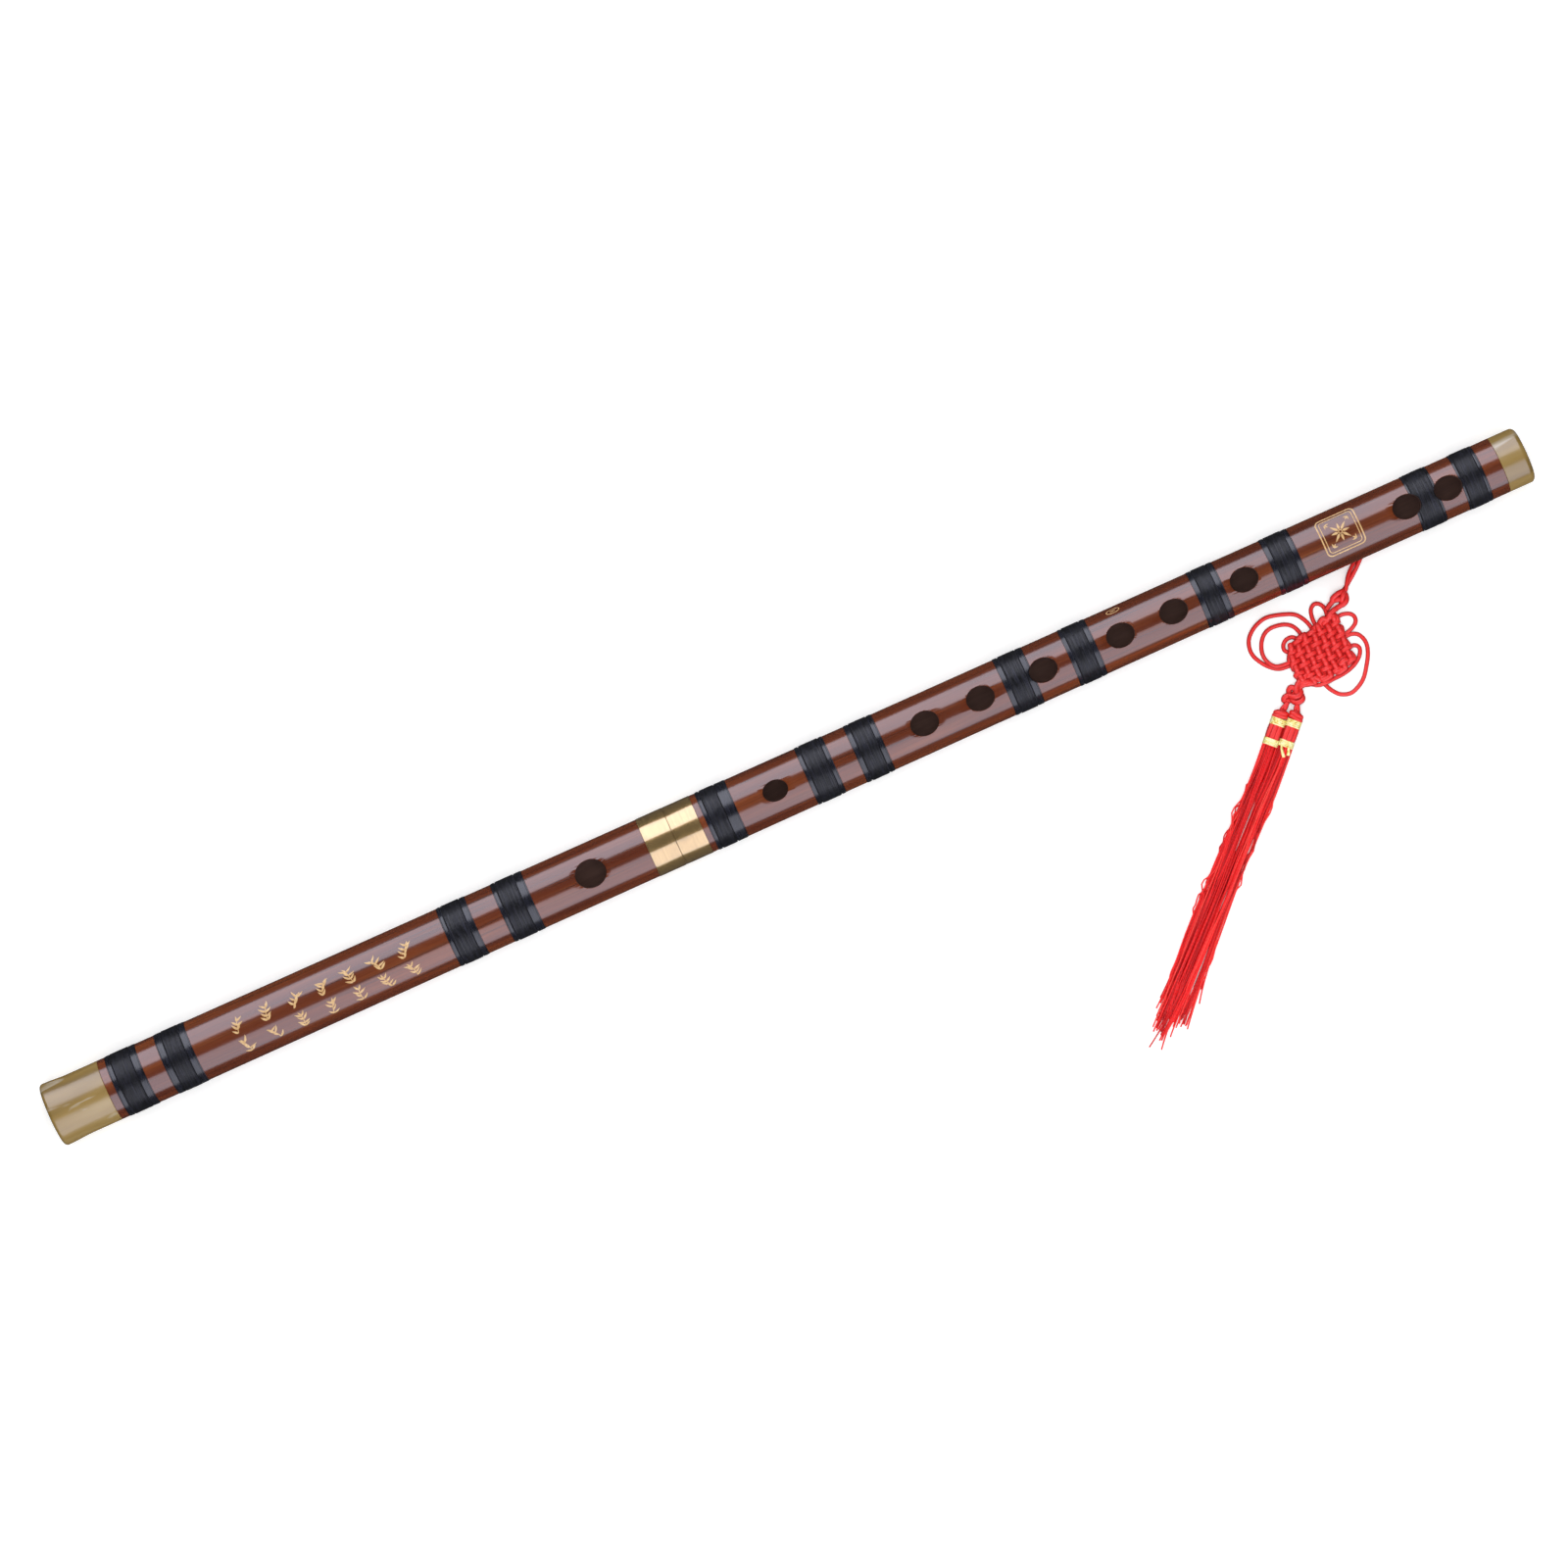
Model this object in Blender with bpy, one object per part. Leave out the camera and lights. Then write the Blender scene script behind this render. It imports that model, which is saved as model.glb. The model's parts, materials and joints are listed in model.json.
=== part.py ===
"""A two-section transverse bamboo flute with thread bindings, a brass joint, horn end caps
and a red pendant of knotted cord with two tassels. Metres, +Z up.

The flute lies along X, head end at -X and foot end at +X, with its holes facing +Z. The origin is
under the middle of the flute, on the surface that the flute and its pendant lie on."""

import math

import bmesh
import bpy
from mathutils import Matrix, Vector

MM = 0.001
GAP = 0.3 * MM  # between pieces that touch on the real flute

# Flute: places along X are measured from mid-length
HALF_LENGTH = 335.0 * MM
HEAD_RADIUS = 13.3 * MM  # of the bamboo, at the head end
FOOT_RADIUS = 12.05 * MM  # of the bamboo, at the foot end
BORE_RADIUS = 8.5 * MM
SIDES = 32  # facets round the flute, one of them facing straight down
EDGE_EASE = 0.2 * MM  # chamfer on the brass rings' outer edges

HEAD_CAP_START = -308.8 * MM
HEAD_CAP_FLARE_RADIUS = 13.8 * MM  # widest point of the flute
HEAD_CAP_FLARE_LENGTH = 13.0 * MM
HEAD_CAP_ROUNDING = 1.5 * MM
FOOT_CAP_ROUNDING = 2.0 * MM
FOOT_CAP_START = 323.3 * MM
CAP_END_WALL = 5.7 * MM
FOOT_CAP_END_WALL = 3.7 * MM
CAP_SEAT_DEPTH = 2.2 * MM  # how far the bamboo is turned down inside a cap

FERRULE_LEFT, JOINT_FACE, FERRULE_RIGHT = -63.9 * MM, -51.9 * MM, -39.7 * MM
FERRULE_PROUD = 0.15 * MM
FERRULE_SEAT_DEPTH = 1.3 * MM
FERRULE_LIP = 1.2 * MM
TENON_OUTER = 9.2 * MM
TENON_IN_HEAD = 21.8 * MM
TENON_IN_BODY = 24.3 * MM
SOCKET_WALL = 0.5 * MM
TENON_LEAD_IN = (0.5 * MM, 0.3 * MM)  # taper at the tenon's free end, along and across

CORK_LEFT, CORK_RIGHT = -114.0 * MM, -98.5 * MM
CORK_CHAMFER = 0.8 * MM

BINDING_SINK = 0.5 * MM  # depth of the groove that a binding lies in
BINDING_PROUD = 0.45 * MM  # how far it stands out of the bamboo
HEAD_BINDINGS = ((-305.3, -291.6), (-283.0, -269.3), (-154.6, -141.7), (-130.0, -116.0))
BODY_BINDINGS = (
    (-37.2, -23.6), (8.1, 20.8), (30.4, 43.1), (98.2, 111.1), (127.6, 139.8),
    (186.1, 197.7), (219.1, 231.6), (283.3, 294.6), (304.8, 315.4),
)

# Holes on top: place along X, then size along and across the flute
BLOW_HOLE = (-89.6, 13.3, 11.7)
MEMBRANE_HOLE = (-5.9, 10.9, 8.7)
FINGER_HOLE_PLACES = (61.8, 87.1, 115.6, 150.6, 174.7, 206.7)
TONE_HOLE_PLACES = (280.4, 299.2)
FINGER_HOLE_SIZE = (12.2, 10.1)
HOLE_SIDES = 24

# Tassel holes, underneath and turned a little towards the pendant's side
TASSEL_HOLE_PLACES = (243.0 * MM, 261.0 * MM)
TASSEL_HOLE_RADIUS = 2.75 * MM
TASSEL_HOLE_TURN = math.radians(35.0)  # from straight down towards -Y

# Pendant
CORD_DIAMETER = 1.8 * MM
DOUBLED_CORD_DIAMETER = 2.6 * MM
CORD_LIFT = CORD_DIAMETER / 2
PENDANT_DIRECTION = Vector((-0.729, -0.684, 0.0))
KNOT_CENTRE = Vector((224.4, -40.0, 0.0)) * MM  # of the endless knot
KNOT_HALF_SIZE = (12.0 * MM, 11.2 * MM)
KNOT_THICKNESS, KNOT_CORNER, KNOT_EDGE = 5.2 * MM, 2.5 * MM, 0.8 * MM
TOP_KNOT_CENTRE, TOP_KNOT_SIZE = (240.7, -23.8), (9.2, 6.4, 5.4)
LOWER_KNOT_CENTRE, LOWER_KNOT_SIZE = (207.8, -52.8), (9.0, 8.0, 5.8)
TASSEL_DIRECTION = Vector((-0.69, -0.724, 0.0)).normalized()
TASSEL_SIDEWAYS = Vector((-TASSEL_DIRECTION.y, TASSEL_DIRECTION.x, 0.0))
TASSEL_PAIR_CENTRE = Vector((199.5, -61.5, 0.0)) * MM
TASSEL_SPREAD = 3.35 * MM  # of each tassel from the pair's middle
TASSEL_STAGGER = 0.7 * MM
TASSEL_SIDES = 16
TASSEL_HEAD_RADIUS = 2.95 * MM
GOLD_BAND_RADIUS = 3.2 * MM
TASSEL_HEAD_TOP = -5.6 * MM
UPPER_BAND = (-1.5 * MM, 1.5 * MM)
LOWER_BAND = (7.8 * MM, 10.0 * MM)
SKIRT_START = 10.7 * MM
SKIRT_LENGTH = 124.0 * MM
SKIRT_DRIFT = -3.8 * MM  # sideways from the head's line, by the ends of the strands
SKIRT_HALF_WIDTH, SKIRT_SWELL = 3.1 * MM, 0.75 * MM
SKIRT_HALF_HEIGHTS = (3.0 * MM, 2.0 * MM)  # at the head, and at the ends of the strands

AXIS_HEIGHT = HEAD_CAP_FLARE_RADIUS * math.cos(math.pi / SIDES)


def tube_radius(x):
    """Outer radius of the bamboo, which tapers evenly from head to foot."""
    share = (x + HALF_LENGTH) / (2 * HALF_LENGTH)
    return HEAD_RADIUS + (FOOT_RADIUS - HEAD_RADIUS) * share


def clear_scene():
    for existing in list(bpy.data.objects):
        bpy.data.objects.remove(existing)


def material(name, colour, roughness, metallic=0.0):
    made = bpy.data.materials.new(name)
    made.use_nodes = True
    shader = made.node_tree.nodes["Principled BSDF"]
    shader.inputs["Base Color"].default_value = (*colour, 1.0)
    shader.inputs["Roughness"].default_value = roughness
    shader.inputs["Metallic"].default_value = metallic
    return made


def new_object(name, bm, surface, location=(0.0, 0.0, 0.0)):
    """Turn a bmesh into a smooth-shaded object with its faces pointing out."""
    bmesh.ops.recalc_face_normals(bm, faces=bm.faces)
    mesh = bpy.data.meshes.new(name)
    bm.to_mesh(mesh)
    bm.free()
    mesh.shade_smooth()
    mesh.set_sharp_from_angle(angle=math.radians(35.0))
    mesh.materials.append(surface)
    made = bpy.data.objects.new(name, mesh)
    made.location = location
    bpy.context.collection.objects.link(made)
    return made


def pivot(name, location):
    """An empty on a joint's axis, the parent of the pieces that move about it."""
    made = bpy.data.objects.new(name, None)
    made.location = location
    made.empty_display_size = 0.01
    bpy.context.collection.objects.link(made)
    return made


def attach(pieces, parent):
    """Parent pieces, which keep their world places."""
    for piece in pieces:
        piece.parent = parent
        piece.matrix_parent_inverse = Matrix.Translation(-parent.location)


def add_ring(bm, x, radius, sides):
    """One turned ring about X, with a facet, not a corner, facing straight down."""
    ring = []
    for side in range(sides):
        angle = 2 * math.pi * (side + 0.5) / sides
        ring.append(bm.verts.new((x, radius * math.sin(angle), radius * math.cos(angle))))
    return ring


def bridge(bm, first, second):
    count = len(first)
    for i in range(count):
        j = (i + 1) % count
        bm.faces.new((first[i], first[j], second[j], second[i]))


def turned_ring(name, outline, surface, location=(0.0, 0.0, 0.0), sides=SIDES):
    """A ring-shaped solid: a closed outline of (x, radius) turned about X."""
    bm = bmesh.new()
    rings = [add_ring(bm, x, radius, sides) for x, radius in outline]
    for i, ring in enumerate(rings):
        bridge(bm, ring, rings[(i + 1) % len(rings)])
    return new_object(name, bm, surface, location)


def turned_solid(name, outline, surface, location=(0.0, 0.0, 0.0), sides=SIDES):
    """A solid with no bore: an outline of (x, radius) from end to end, turned about X."""
    bm = bmesh.new()
    rings = [add_ring(bm, x, radius, sides) for x, radius in outline]
    for first, second in zip(rings, rings[1:]):
        bridge(bm, first, second)
    bm.faces.new(rings[0])
    bm.faces.new(rings[-1])
    return new_object(name, bm, surface, location)


def aim(piece, direction):
    """Turn a piece made along +X so that it runs along a level direction."""
    piece.rotation_euler = (0.0, 0.0, math.atan2(direction.y, direction.x))


def smooth_points(route, spacing):
    """Points at an even spacing on a smooth curve through the route's points."""
    ends = [2 * route[0] - route[1], *route, 2 * route[-1] - route[-2]]
    fine = []
    steps = 24
    for a, b, c, d in zip(ends, ends[1:], ends[2:], ends[3:]):
        for step in range(steps):
            t = step / steps
            fine.append(0.5 * (2 * b + (c - a) * t + (2 * a - 5 * b + 4 * c - d) * t**2
                               + (3 * b - a - 3 * c + d) * t**3))
    fine.append(route[-1])
    lengths = [0.0]
    for a, b in zip(fine, fine[1:]):
        lengths.append(lengths[-1] + (b - a).length)
    count = max(3, round(lengths[-1] / spacing) + 1)
    points, i = [], 0
    for n in range(count):
        target = lengths[-1] * n / (count - 1)
        while i < len(fine) - 2 and lengths[i + 1] < target:
            i += 1
        share = (target - lengths[i]) / (lengths[i + 1] - lengths[i])
        points.append(fine[i].lerp(fine[i + 1], share))
    return points


def cord(name, route_mm, diameter, surface, spacing_diameters=2.2):
    """A round cord with closed ends along a smooth curve through the route, given in mm."""
    points = smooth_points([Vector(p) * MM for p in route_mm], spacing_diameters * diameter)
    curve = bpy.data.curves.new(name, "CURVE")
    curve.dimensions = "3D"
    curve.bevel_depth = diameter / 2
    curve.bevel_resolution = 2
    curve.use_fill_caps = True
    spline = curve.splines.new("POLY")
    spline.points.add(len(points) - 1)
    for spot, point in zip(spline.points, points):
        spot.co = (*point, 1.0)
    curve.materials.append(surface)
    made = bpy.data.objects.new(name, curve)
    bpy.context.collection.objects.link(made)
    return made


def hole_cutter(name, holes):
    """Oval plugs for the top holes, from the flute's axis up past its surface."""
    bm = bmesh.new()
    for x, along, across in holes:
        ends = []
        for z in (0.0, 2 * HEAD_RADIUS):
            ring = []
            for side in range(HOLE_SIDES):
                angle = 2 * math.pi * side / HOLE_SIDES
                ring.append(bm.verts.new((
                    (x + along / 2 * math.cos(angle)) * MM, across / 2 * math.sin(angle) * MM, z)))
            ends.append(ring)
        bridge(bm, *ends)
        bm.faces.new(ends[0])
        bm.faces.new(ends[1])
    return cutter(name, bm)


def cutter(name, bm):
    bmesh.ops.recalc_face_normals(bm, faces=bm.faces)
    mesh = bpy.data.meshes.new(name)
    bm.to_mesh(mesh)
    bm.free()
    made = bpy.data.objects.new(name, mesh)
    made.location = (0.0, 0.0, AXIS_HEIGHT)
    made.hide_render = True
    made.display_type = "WIRE"
    bpy.context.collection.objects.link(made)
    return made


def tassel_hole_cutter():
    """Round plugs for the two tassel holes, from inside the bore out past the surface."""
    bm = bmesh.new()
    depth = 2 * HEAD_RADIUS
    for x in TASSEL_HOLE_PLACES:
        out = tassel_hole_point(x, depth / 2) - Vector((0.0, 0.0, AXIS_HEIGHT))
        turn = Matrix.Rotation(math.pi - TASSEL_HOLE_TURN, 4, "X")
        bmesh.ops.create_cone(
            bm, cap_ends=True, segments=HOLE_SIDES, radius1=TASSEL_HOLE_RADIUS,
            radius2=TASSEL_HOLE_RADIUS, depth=depth, matrix=Matrix.Translation(out) @ turn)
    return cutter("tassel_hole_cutter", bm)


def tassel_hole_point(x, radius):
    """The point this far from the flute's axis on the middle line of the tassel holes."""
    return Vector((x, -radius * math.sin(TASSEL_HOLE_TURN),
                   AXIS_HEIGHT - radius * math.cos(TASSEL_HOLE_TURN)))


def cut(piece, tool):
    boolean = piece.modifiers.new(tool.name, "BOOLEAN")
    boolean.operation = "DIFFERENCE"
    boolean.solver = "EXACT"
    boolean.object = tool


def grooves(bindings):
    """Outline points of the grooves that the bindings lie in."""
    points = []
    for start, end in bindings:
        left, right = start * MM - GAP, end * MM + GAP
        points += [
            (left, tube_radius(left)), (left, tube_radius(left) - BINDING_SINK),
            (right, tube_radius(right) - BINDING_SINK), (right, tube_radius(right)),
        ]
    return points


def make_head_tube(bamboo):
    seat_end = -HALF_LENGTH + CAP_END_WALL + GAP
    shoulder = HEAD_CAP_START + GAP
    ferrule_shoulder = FERRULE_LEFT - GAP
    end = JOINT_FACE - GAP / 2 - FERRULE_LIP - GAP
    cap_seat = tube_radius(shoulder) - CAP_SEAT_DEPTH
    ferrule_seat = tube_radius(ferrule_shoulder) - FERRULE_SEAT_DEPTH
    tenon_stop = JOINT_FACE - TENON_IN_HEAD - GAP
    outline = [
        (seat_end, cap_seat), (shoulder, cap_seat), (shoulder, tube_radius(shoulder)),
        *grooves(HEAD_BINDINGS),
        (ferrule_shoulder, tube_radius(ferrule_shoulder)), (ferrule_shoulder, ferrule_seat),
        (end, ferrule_seat), (end, TENON_OUTER + GAP), (tenon_stop, TENON_OUTER + GAP),
        (tenon_stop, BORE_RADIUS), (seat_end, BORE_RADIUS),
    ]
    return turned_ring("head_tube", outline, bamboo, (0.0, 0.0, AXIS_HEIGHT))


def make_body_tube(bamboo):
    start = JOINT_FACE + GAP / 2 + FERRULE_LIP + GAP
    ferrule_shoulder = FERRULE_RIGHT + GAP
    shoulder = FOOT_CAP_START - GAP
    seat_end = HALF_LENGTH - FOOT_CAP_END_WALL - GAP
    ferrule_seat = tube_radius(ferrule_shoulder) - FERRULE_SEAT_DEPTH
    cap_seat = tube_radius(shoulder) - CAP_SEAT_DEPTH
    socket_seat = TENON_OUTER + GAP + SOCKET_WALL + GAP
    socket_stop = JOINT_FACE + TENON_IN_BODY + 2 * GAP
    outline = [
        (start, ferrule_seat), (ferrule_shoulder, ferrule_seat),
        (ferrule_shoulder, tube_radius(ferrule_shoulder)),
        *grooves(BODY_BINDINGS),
        (shoulder, tube_radius(shoulder)), (shoulder, cap_seat), (seat_end, cap_seat),
        (seat_end, BORE_RADIUS), (socket_stop, BORE_RADIUS), (socket_stop, socket_seat),
        (start, socket_seat),
    ]
    return turned_ring("body_tube", outline, bamboo, (0.0, 0.0, AXIS_HEIGHT))


def make_head_end_cap(horn):
    inner = tube_radius(HEAD_CAP_START) - CAP_SEAT_DEPTH + GAP
    wall = -HALF_LENGTH + CAP_END_WALL
    rim = tube_radius(HEAD_CAP_START)
    flare = []
    for share in (0.0, 0.25, 0.5, 0.75, 1.0):
        reach = HEAD_CAP_ROUNDING + (1 - share) * (HEAD_CAP_FLARE_LENGTH - HEAD_CAP_ROUNDING)
        ease = share * share * (3 - 2 * share)
        flare.append((-HALF_LENGTH + reach, rim + (HEAD_CAP_FLARE_RADIUS - rim) * ease))
    rounded = [
        (-HALF_LENGTH + HEAD_CAP_ROUNDING * (1 - math.sin(turn)),
         HEAD_CAP_FLARE_RADIUS - HEAD_CAP_ROUNDING * (1 - math.cos(turn)))
        for turn in (math.pi / 6, math.pi / 3, math.pi / 2)
    ]
    outline = [
        (HEAD_CAP_START, inner), (HEAD_CAP_START, rim), *flare, *rounded,
        (-HALF_LENGTH, BORE_RADIUS), (wall, BORE_RADIUS), (wall, inner),
    ]
    return turned_ring("head_end_cap", outline, horn, (0.0, 0.0, AXIS_HEIGHT))


def make_foot_end_cap(horn):
    inner = tube_radius(FOOT_CAP_START) - CAP_SEAT_DEPTH + GAP
    wall = HALF_LENGTH - FOOT_CAP_END_WALL
    rim = tube_radius(FOOT_CAP_START)
    rounded = [
        (HALF_LENGTH - FOOT_CAP_ROUNDING * (1 - math.sin(turn)),
         rim - FOOT_CAP_ROUNDING * (1 - math.cos(turn)))
        for turn in (0.0, math.pi / 6, math.pi / 3, math.pi / 2)
    ]
    outline = [
        (FOOT_CAP_START, inner), (FOOT_CAP_START, rim), *rounded,
        (HALF_LENGTH, BORE_RADIUS), (wall, BORE_RADIUS), (wall, inner),
    ]
    return turned_ring("foot_end_cap", outline, horn, (0.0, 0.0, AXIS_HEIGHT))


def make_ferrule(name, open_end, face, hole_radius, brass):
    """A brass cup over a section's joint end, with a lip that covers the end of the bamboo."""
    inward = math.copysign(1.0, open_end - face)
    rim = tube_radius(open_end) + FERRULE_PROUD
    seat = tube_radius(open_end) - FERRULE_SEAT_DEPTH + GAP
    face += inward * GAP / 2
    lip = face + inward * FERRULE_LIP
    outline = [
        (open_end, seat), (open_end, rim - EDGE_EASE), (open_end - inward * EDGE_EASE, rim),
        (face + inward * EDGE_EASE, rim), (face, rim - EDGE_EASE), (face, hole_radius),
        (lip, hole_radius), (lip, seat),
    ]
    return turned_ring(name, outline, brass, (0.0, 0.0, AXIS_HEIGHT))


def make_joint(brass):
    """The tenon, fixed in the head section, and the socket that it slides in."""
    tenon_left, tenon_right = JOINT_FACE - TENON_IN_HEAD, JOINT_FACE + TENON_IN_BODY
    socket_left, socket_right = JOINT_FACE + GAP / 2, tenon_right + GAP
    socket_inner = TENON_OUTER + GAP
    socket_outer = socket_inner + SOCKET_WALL
    lead_length, lead_depth = TENON_LEAD_IN
    head_ferrule = make_ferrule("head_ferrule", FERRULE_LEFT, JOINT_FACE, TENON_OUTER + GAP, brass)
    body_ferrule = make_ferrule("body_ferrule", FERRULE_RIGHT, JOINT_FACE, socket_outer + GAP, brass)
    tenon = turned_ring("joint_tenon", [
        (tenon_left, BORE_RADIUS), (tenon_left, TENON_OUTER), (tenon_right - lead_length, TENON_OUTER),
        (tenon_right, TENON_OUTER - lead_depth), (tenon_right, BORE_RADIUS),
    ], brass, (0.0, 0.0, AXIS_HEIGHT))
    socket = turned_ring("joint_socket", [
        (socket_left, socket_inner), (socket_left, socket_outer), (socket_right, socket_outer),
        (socket_right, socket_inner),
    ], brass, (0.0, 0.0, AXIS_HEIGHT))
    return head_ferrule, body_ferrule, tenon, socket


def make_cork(surface):
    radius = BORE_RADIUS - GAP
    return turned_solid("head_cork", [
        (CORK_LEFT, radius - CORK_CHAMFER), (CORK_LEFT + CORK_CHAMFER, radius),
        (CORK_RIGHT - CORK_CHAMFER, radius), (CORK_RIGHT, radius - CORK_CHAMFER),
    ], surface, (0.0, 0.0, AXIS_HEIGHT))


def make_bindings(thread):
    """Every thread binding, numbered from the head end."""
    made = []
    for number, (start, end) in enumerate(HEAD_BINDINGS + BODY_BINDINGS, start=1):
        left, right = start * MM, end * MM
        made.append(turned_ring(f"thread_binding_{number:02d}", [
            (left, tube_radius(left) - BINDING_SINK + GAP), (left, tube_radius(left) + BINDING_PROUD),
            (right, tube_radius(right) + BINDING_PROUD),
            (right, tube_radius(right) - BINDING_SINK + GAP),
        ], thread, (0.0, 0.0, AXIS_HEIGHT)))
    return made


def make_threaded_cord(surface):
    """The doubled cord: along the outside, in at one tassel hole, out at the other."""
    left, right = (x / MM for x in TASSEL_HOLE_PLACES)
    stations = (
        (right - 6.4, 13.9), (right - 9.0, 13.9), (left + 5.0, 13.9), (left + 2.4, 13.8),
        (left + 0.7, 12.9), (left + 0.1, 11.4), (left + 0.1, 9.6), (left + 0.9, 8.0),
        (left + 3.0, 6.9), (left + 9.0, 6.8), (right - 3.0, 6.9), (right - 0.9, 8.0),
        (right - 0.1, 9.6), (right, 11.0), (right, 12.4),
    )
    route = [tassel_hole_point(x * MM, radius * MM) / MM for x, radius in stations]
    return cord("threaded_cord", route, DOUBLED_CORD_DIAMETER, surface, spacing_diameters=0.6)


def make_hanging_cord(surface):
    """The doubled cord from the tassel hole down to the surface and out to the top knot."""
    x = TASSEL_HOLE_PLACES[1]
    route = [
        tassel_hole_point(x, 12.9 * MM) / MM, tassel_hole_point(x, 13.8 * MM) / MM,
        (260.2, -9.0, 1.6), (258.8, -10.0, 1.4),
        (256.2, -11.9, 1.4), (252.4, -14.9, 1.4), (248.6, -17.9, 1.4), (244.9, -20.6, 1.6),
    ]
    return cord("hanging_cord", route, DOUBLED_CORD_DIAMETER, surface, spacing_diameters=0.6)


def make_button_knot(name, centre_mm, size_mm, surface):
    """A button knot's outer shape: a plump ball, longer along the pendant, lying on the surface."""
    bm = bmesh.new()
    bmesh.ops.create_uvsphere(bm, u_segments=16, v_segments=8, radius=1.0)
    for vert in bm.verts:
        vert.co = Vector((vert.co.x * size_mm[0], vert.co.y * size_mm[1], vert.co.z * size_mm[2])) * MM / 2
    x, y = centre_mm
    made = new_object(name, bm, surface, (x * MM, y * MM, size_mm[2] * MM / 2))
    aim(made, PENDANT_DIRECTION)
    return made


def make_endless_knot(surface):
    """The woven square's outer shape: a flat pad with round corners."""
    half_x, half_y = KNOT_HALF_SIZE
    corner, edge = KNOT_CORNER, KNOT_EDGE
    steps = 4
    bm = bmesh.new()
    rings = []
    for z, inset in ((0.0, edge), (edge, 0.0), (KNOT_THICKNESS - edge, 0.0), (KNOT_THICKNESS, edge)):
        ring = []
        for quarter in range(4):
            middle = math.pi / 2 * quarter + math.pi / 4
            cx = math.copysign(half_x - corner, math.cos(middle))
            cy = math.copysign(half_y - corner, math.sin(middle))
            for step in range(steps + 1):
                angle = math.pi / 2 * (quarter + step / steps)
                ring.append(bm.verts.new((
                    cx + (corner - inset) * math.cos(angle), cy + (corner - inset) * math.sin(angle), z)))
        rings.append(ring)
    for first, second in zip(rings, rings[1:]):
        bridge(bm, first, second)
    bm.faces.new(rings[0])
    bm.faces.new(rings[-1])
    return new_object("endless_knot", bm, surface, KNOT_CENTRE)


def make_loops(surface):
    """The cord loops round the endless knot, in mm from its middle. Where two cross, one rises
    over the other."""
    low, high = CORD_LIFT / MM, (CORD_LIFT + CORD_DIAMETER) / MM + 0.4
    mid = (low + high) / 2
    routes = {
        "ear_loop_top": [
            (3.9, 12.1, low), (3.6, 15.0, low), (5.0, 17.9, low), (7.0, 18.6, low),
            (9.0, 17.2, low), (10.0, 14.6, low), (9.6, 12.1, low)],
        "ear_loop_right": [
            (12.9, 8.4, low), (15.4, 9.4, low), (18.5, 8.8, low), (20.0, 6.4, low),
            (18.9, 3.6, low), (16.0, 2.4, low), (12.9, 2.8, low)],
        "ear_loop_left": [
            (-12.9, 3.6, low), (-13.9, 5.8, low), (-14.2, 8.8, low), (-12.8, 11.6, low),
            (-10.0, 12.9, low), (-7.4, 12.7, low), (-6.6, 12.1, low)],
        "wing_loop_left_outer": [
            (1.2, 12.1, low), (0.0, 15.6, low), (-3.5, 18.6, low), (-9.2, 20.7, low),
            (-14.5, 21.2, low), (-20.2, 19.4, low), (-24.0, 15.2, low), (-24.8, 10.6, low),
            (-23.2, 6.2, low), (-20.2, 1.8, low), (-16.6, -1.8, low), (-12.9, -3.2, low)],
        "wing_loop_left_inner": [
            (-3.2, 12.1, low), (-4.4, 14.4, low), (-8.0, 16.6, low), (-13.0, 17.3, low),
            (-17.7, 15.7, low), (-20.8, 11.4, mid), (-21.4, 6.6, high), (-19.4, 2.2, high),
            (-16.2, 0.2, mid), (-12.9, 0.0, low)],
        "wing_loop_right_outer": [
            (12.9, -0.2, low), (15.2, 0.3, low), (18.2, -1.2, low), (19.9, -4.8, low),
            (19.2, -9.8, low), (16.2, -14.8, low), (12.0, -19.0, low), (7.5, -21.1, low),
            (2.5, -20.2, low), (-1.4, -17.0, low), (-3.2, -13.8, low), (-4.0, -12.1, low)],
        "wing_loop_right_inner": [
            (12.9, -3.7, low), (15.0, -4.0, low), (16.8, -6.0, low), (15.8, -9.2, low),
            (12.4, -12.3, low), (7.0, -14.0, low), (2.4, -13.6, low), (0.4, -12.1, low)],
    }
    loops = []
    for name, route in routes.items():
        from_middle = [Vector(point) + KNOT_CENTRE / MM for point in route]
        loops.append(cord(name, from_middle, CORD_DIAMETER, surface))
    return loops


def tassel_origin(side):
    """The middle of a tassel's upper gold band; side is -1 or +1."""
    along = TASSEL_STAGGER * TASSEL_DIRECTION * -side
    level = TASSEL_PAIR_CENTRE + side * TASSEL_SPREAD * TASSEL_SIDEWAYS + along
    return Vector((level.x, level.y, GOLD_BAND_RADIUS))


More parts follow.
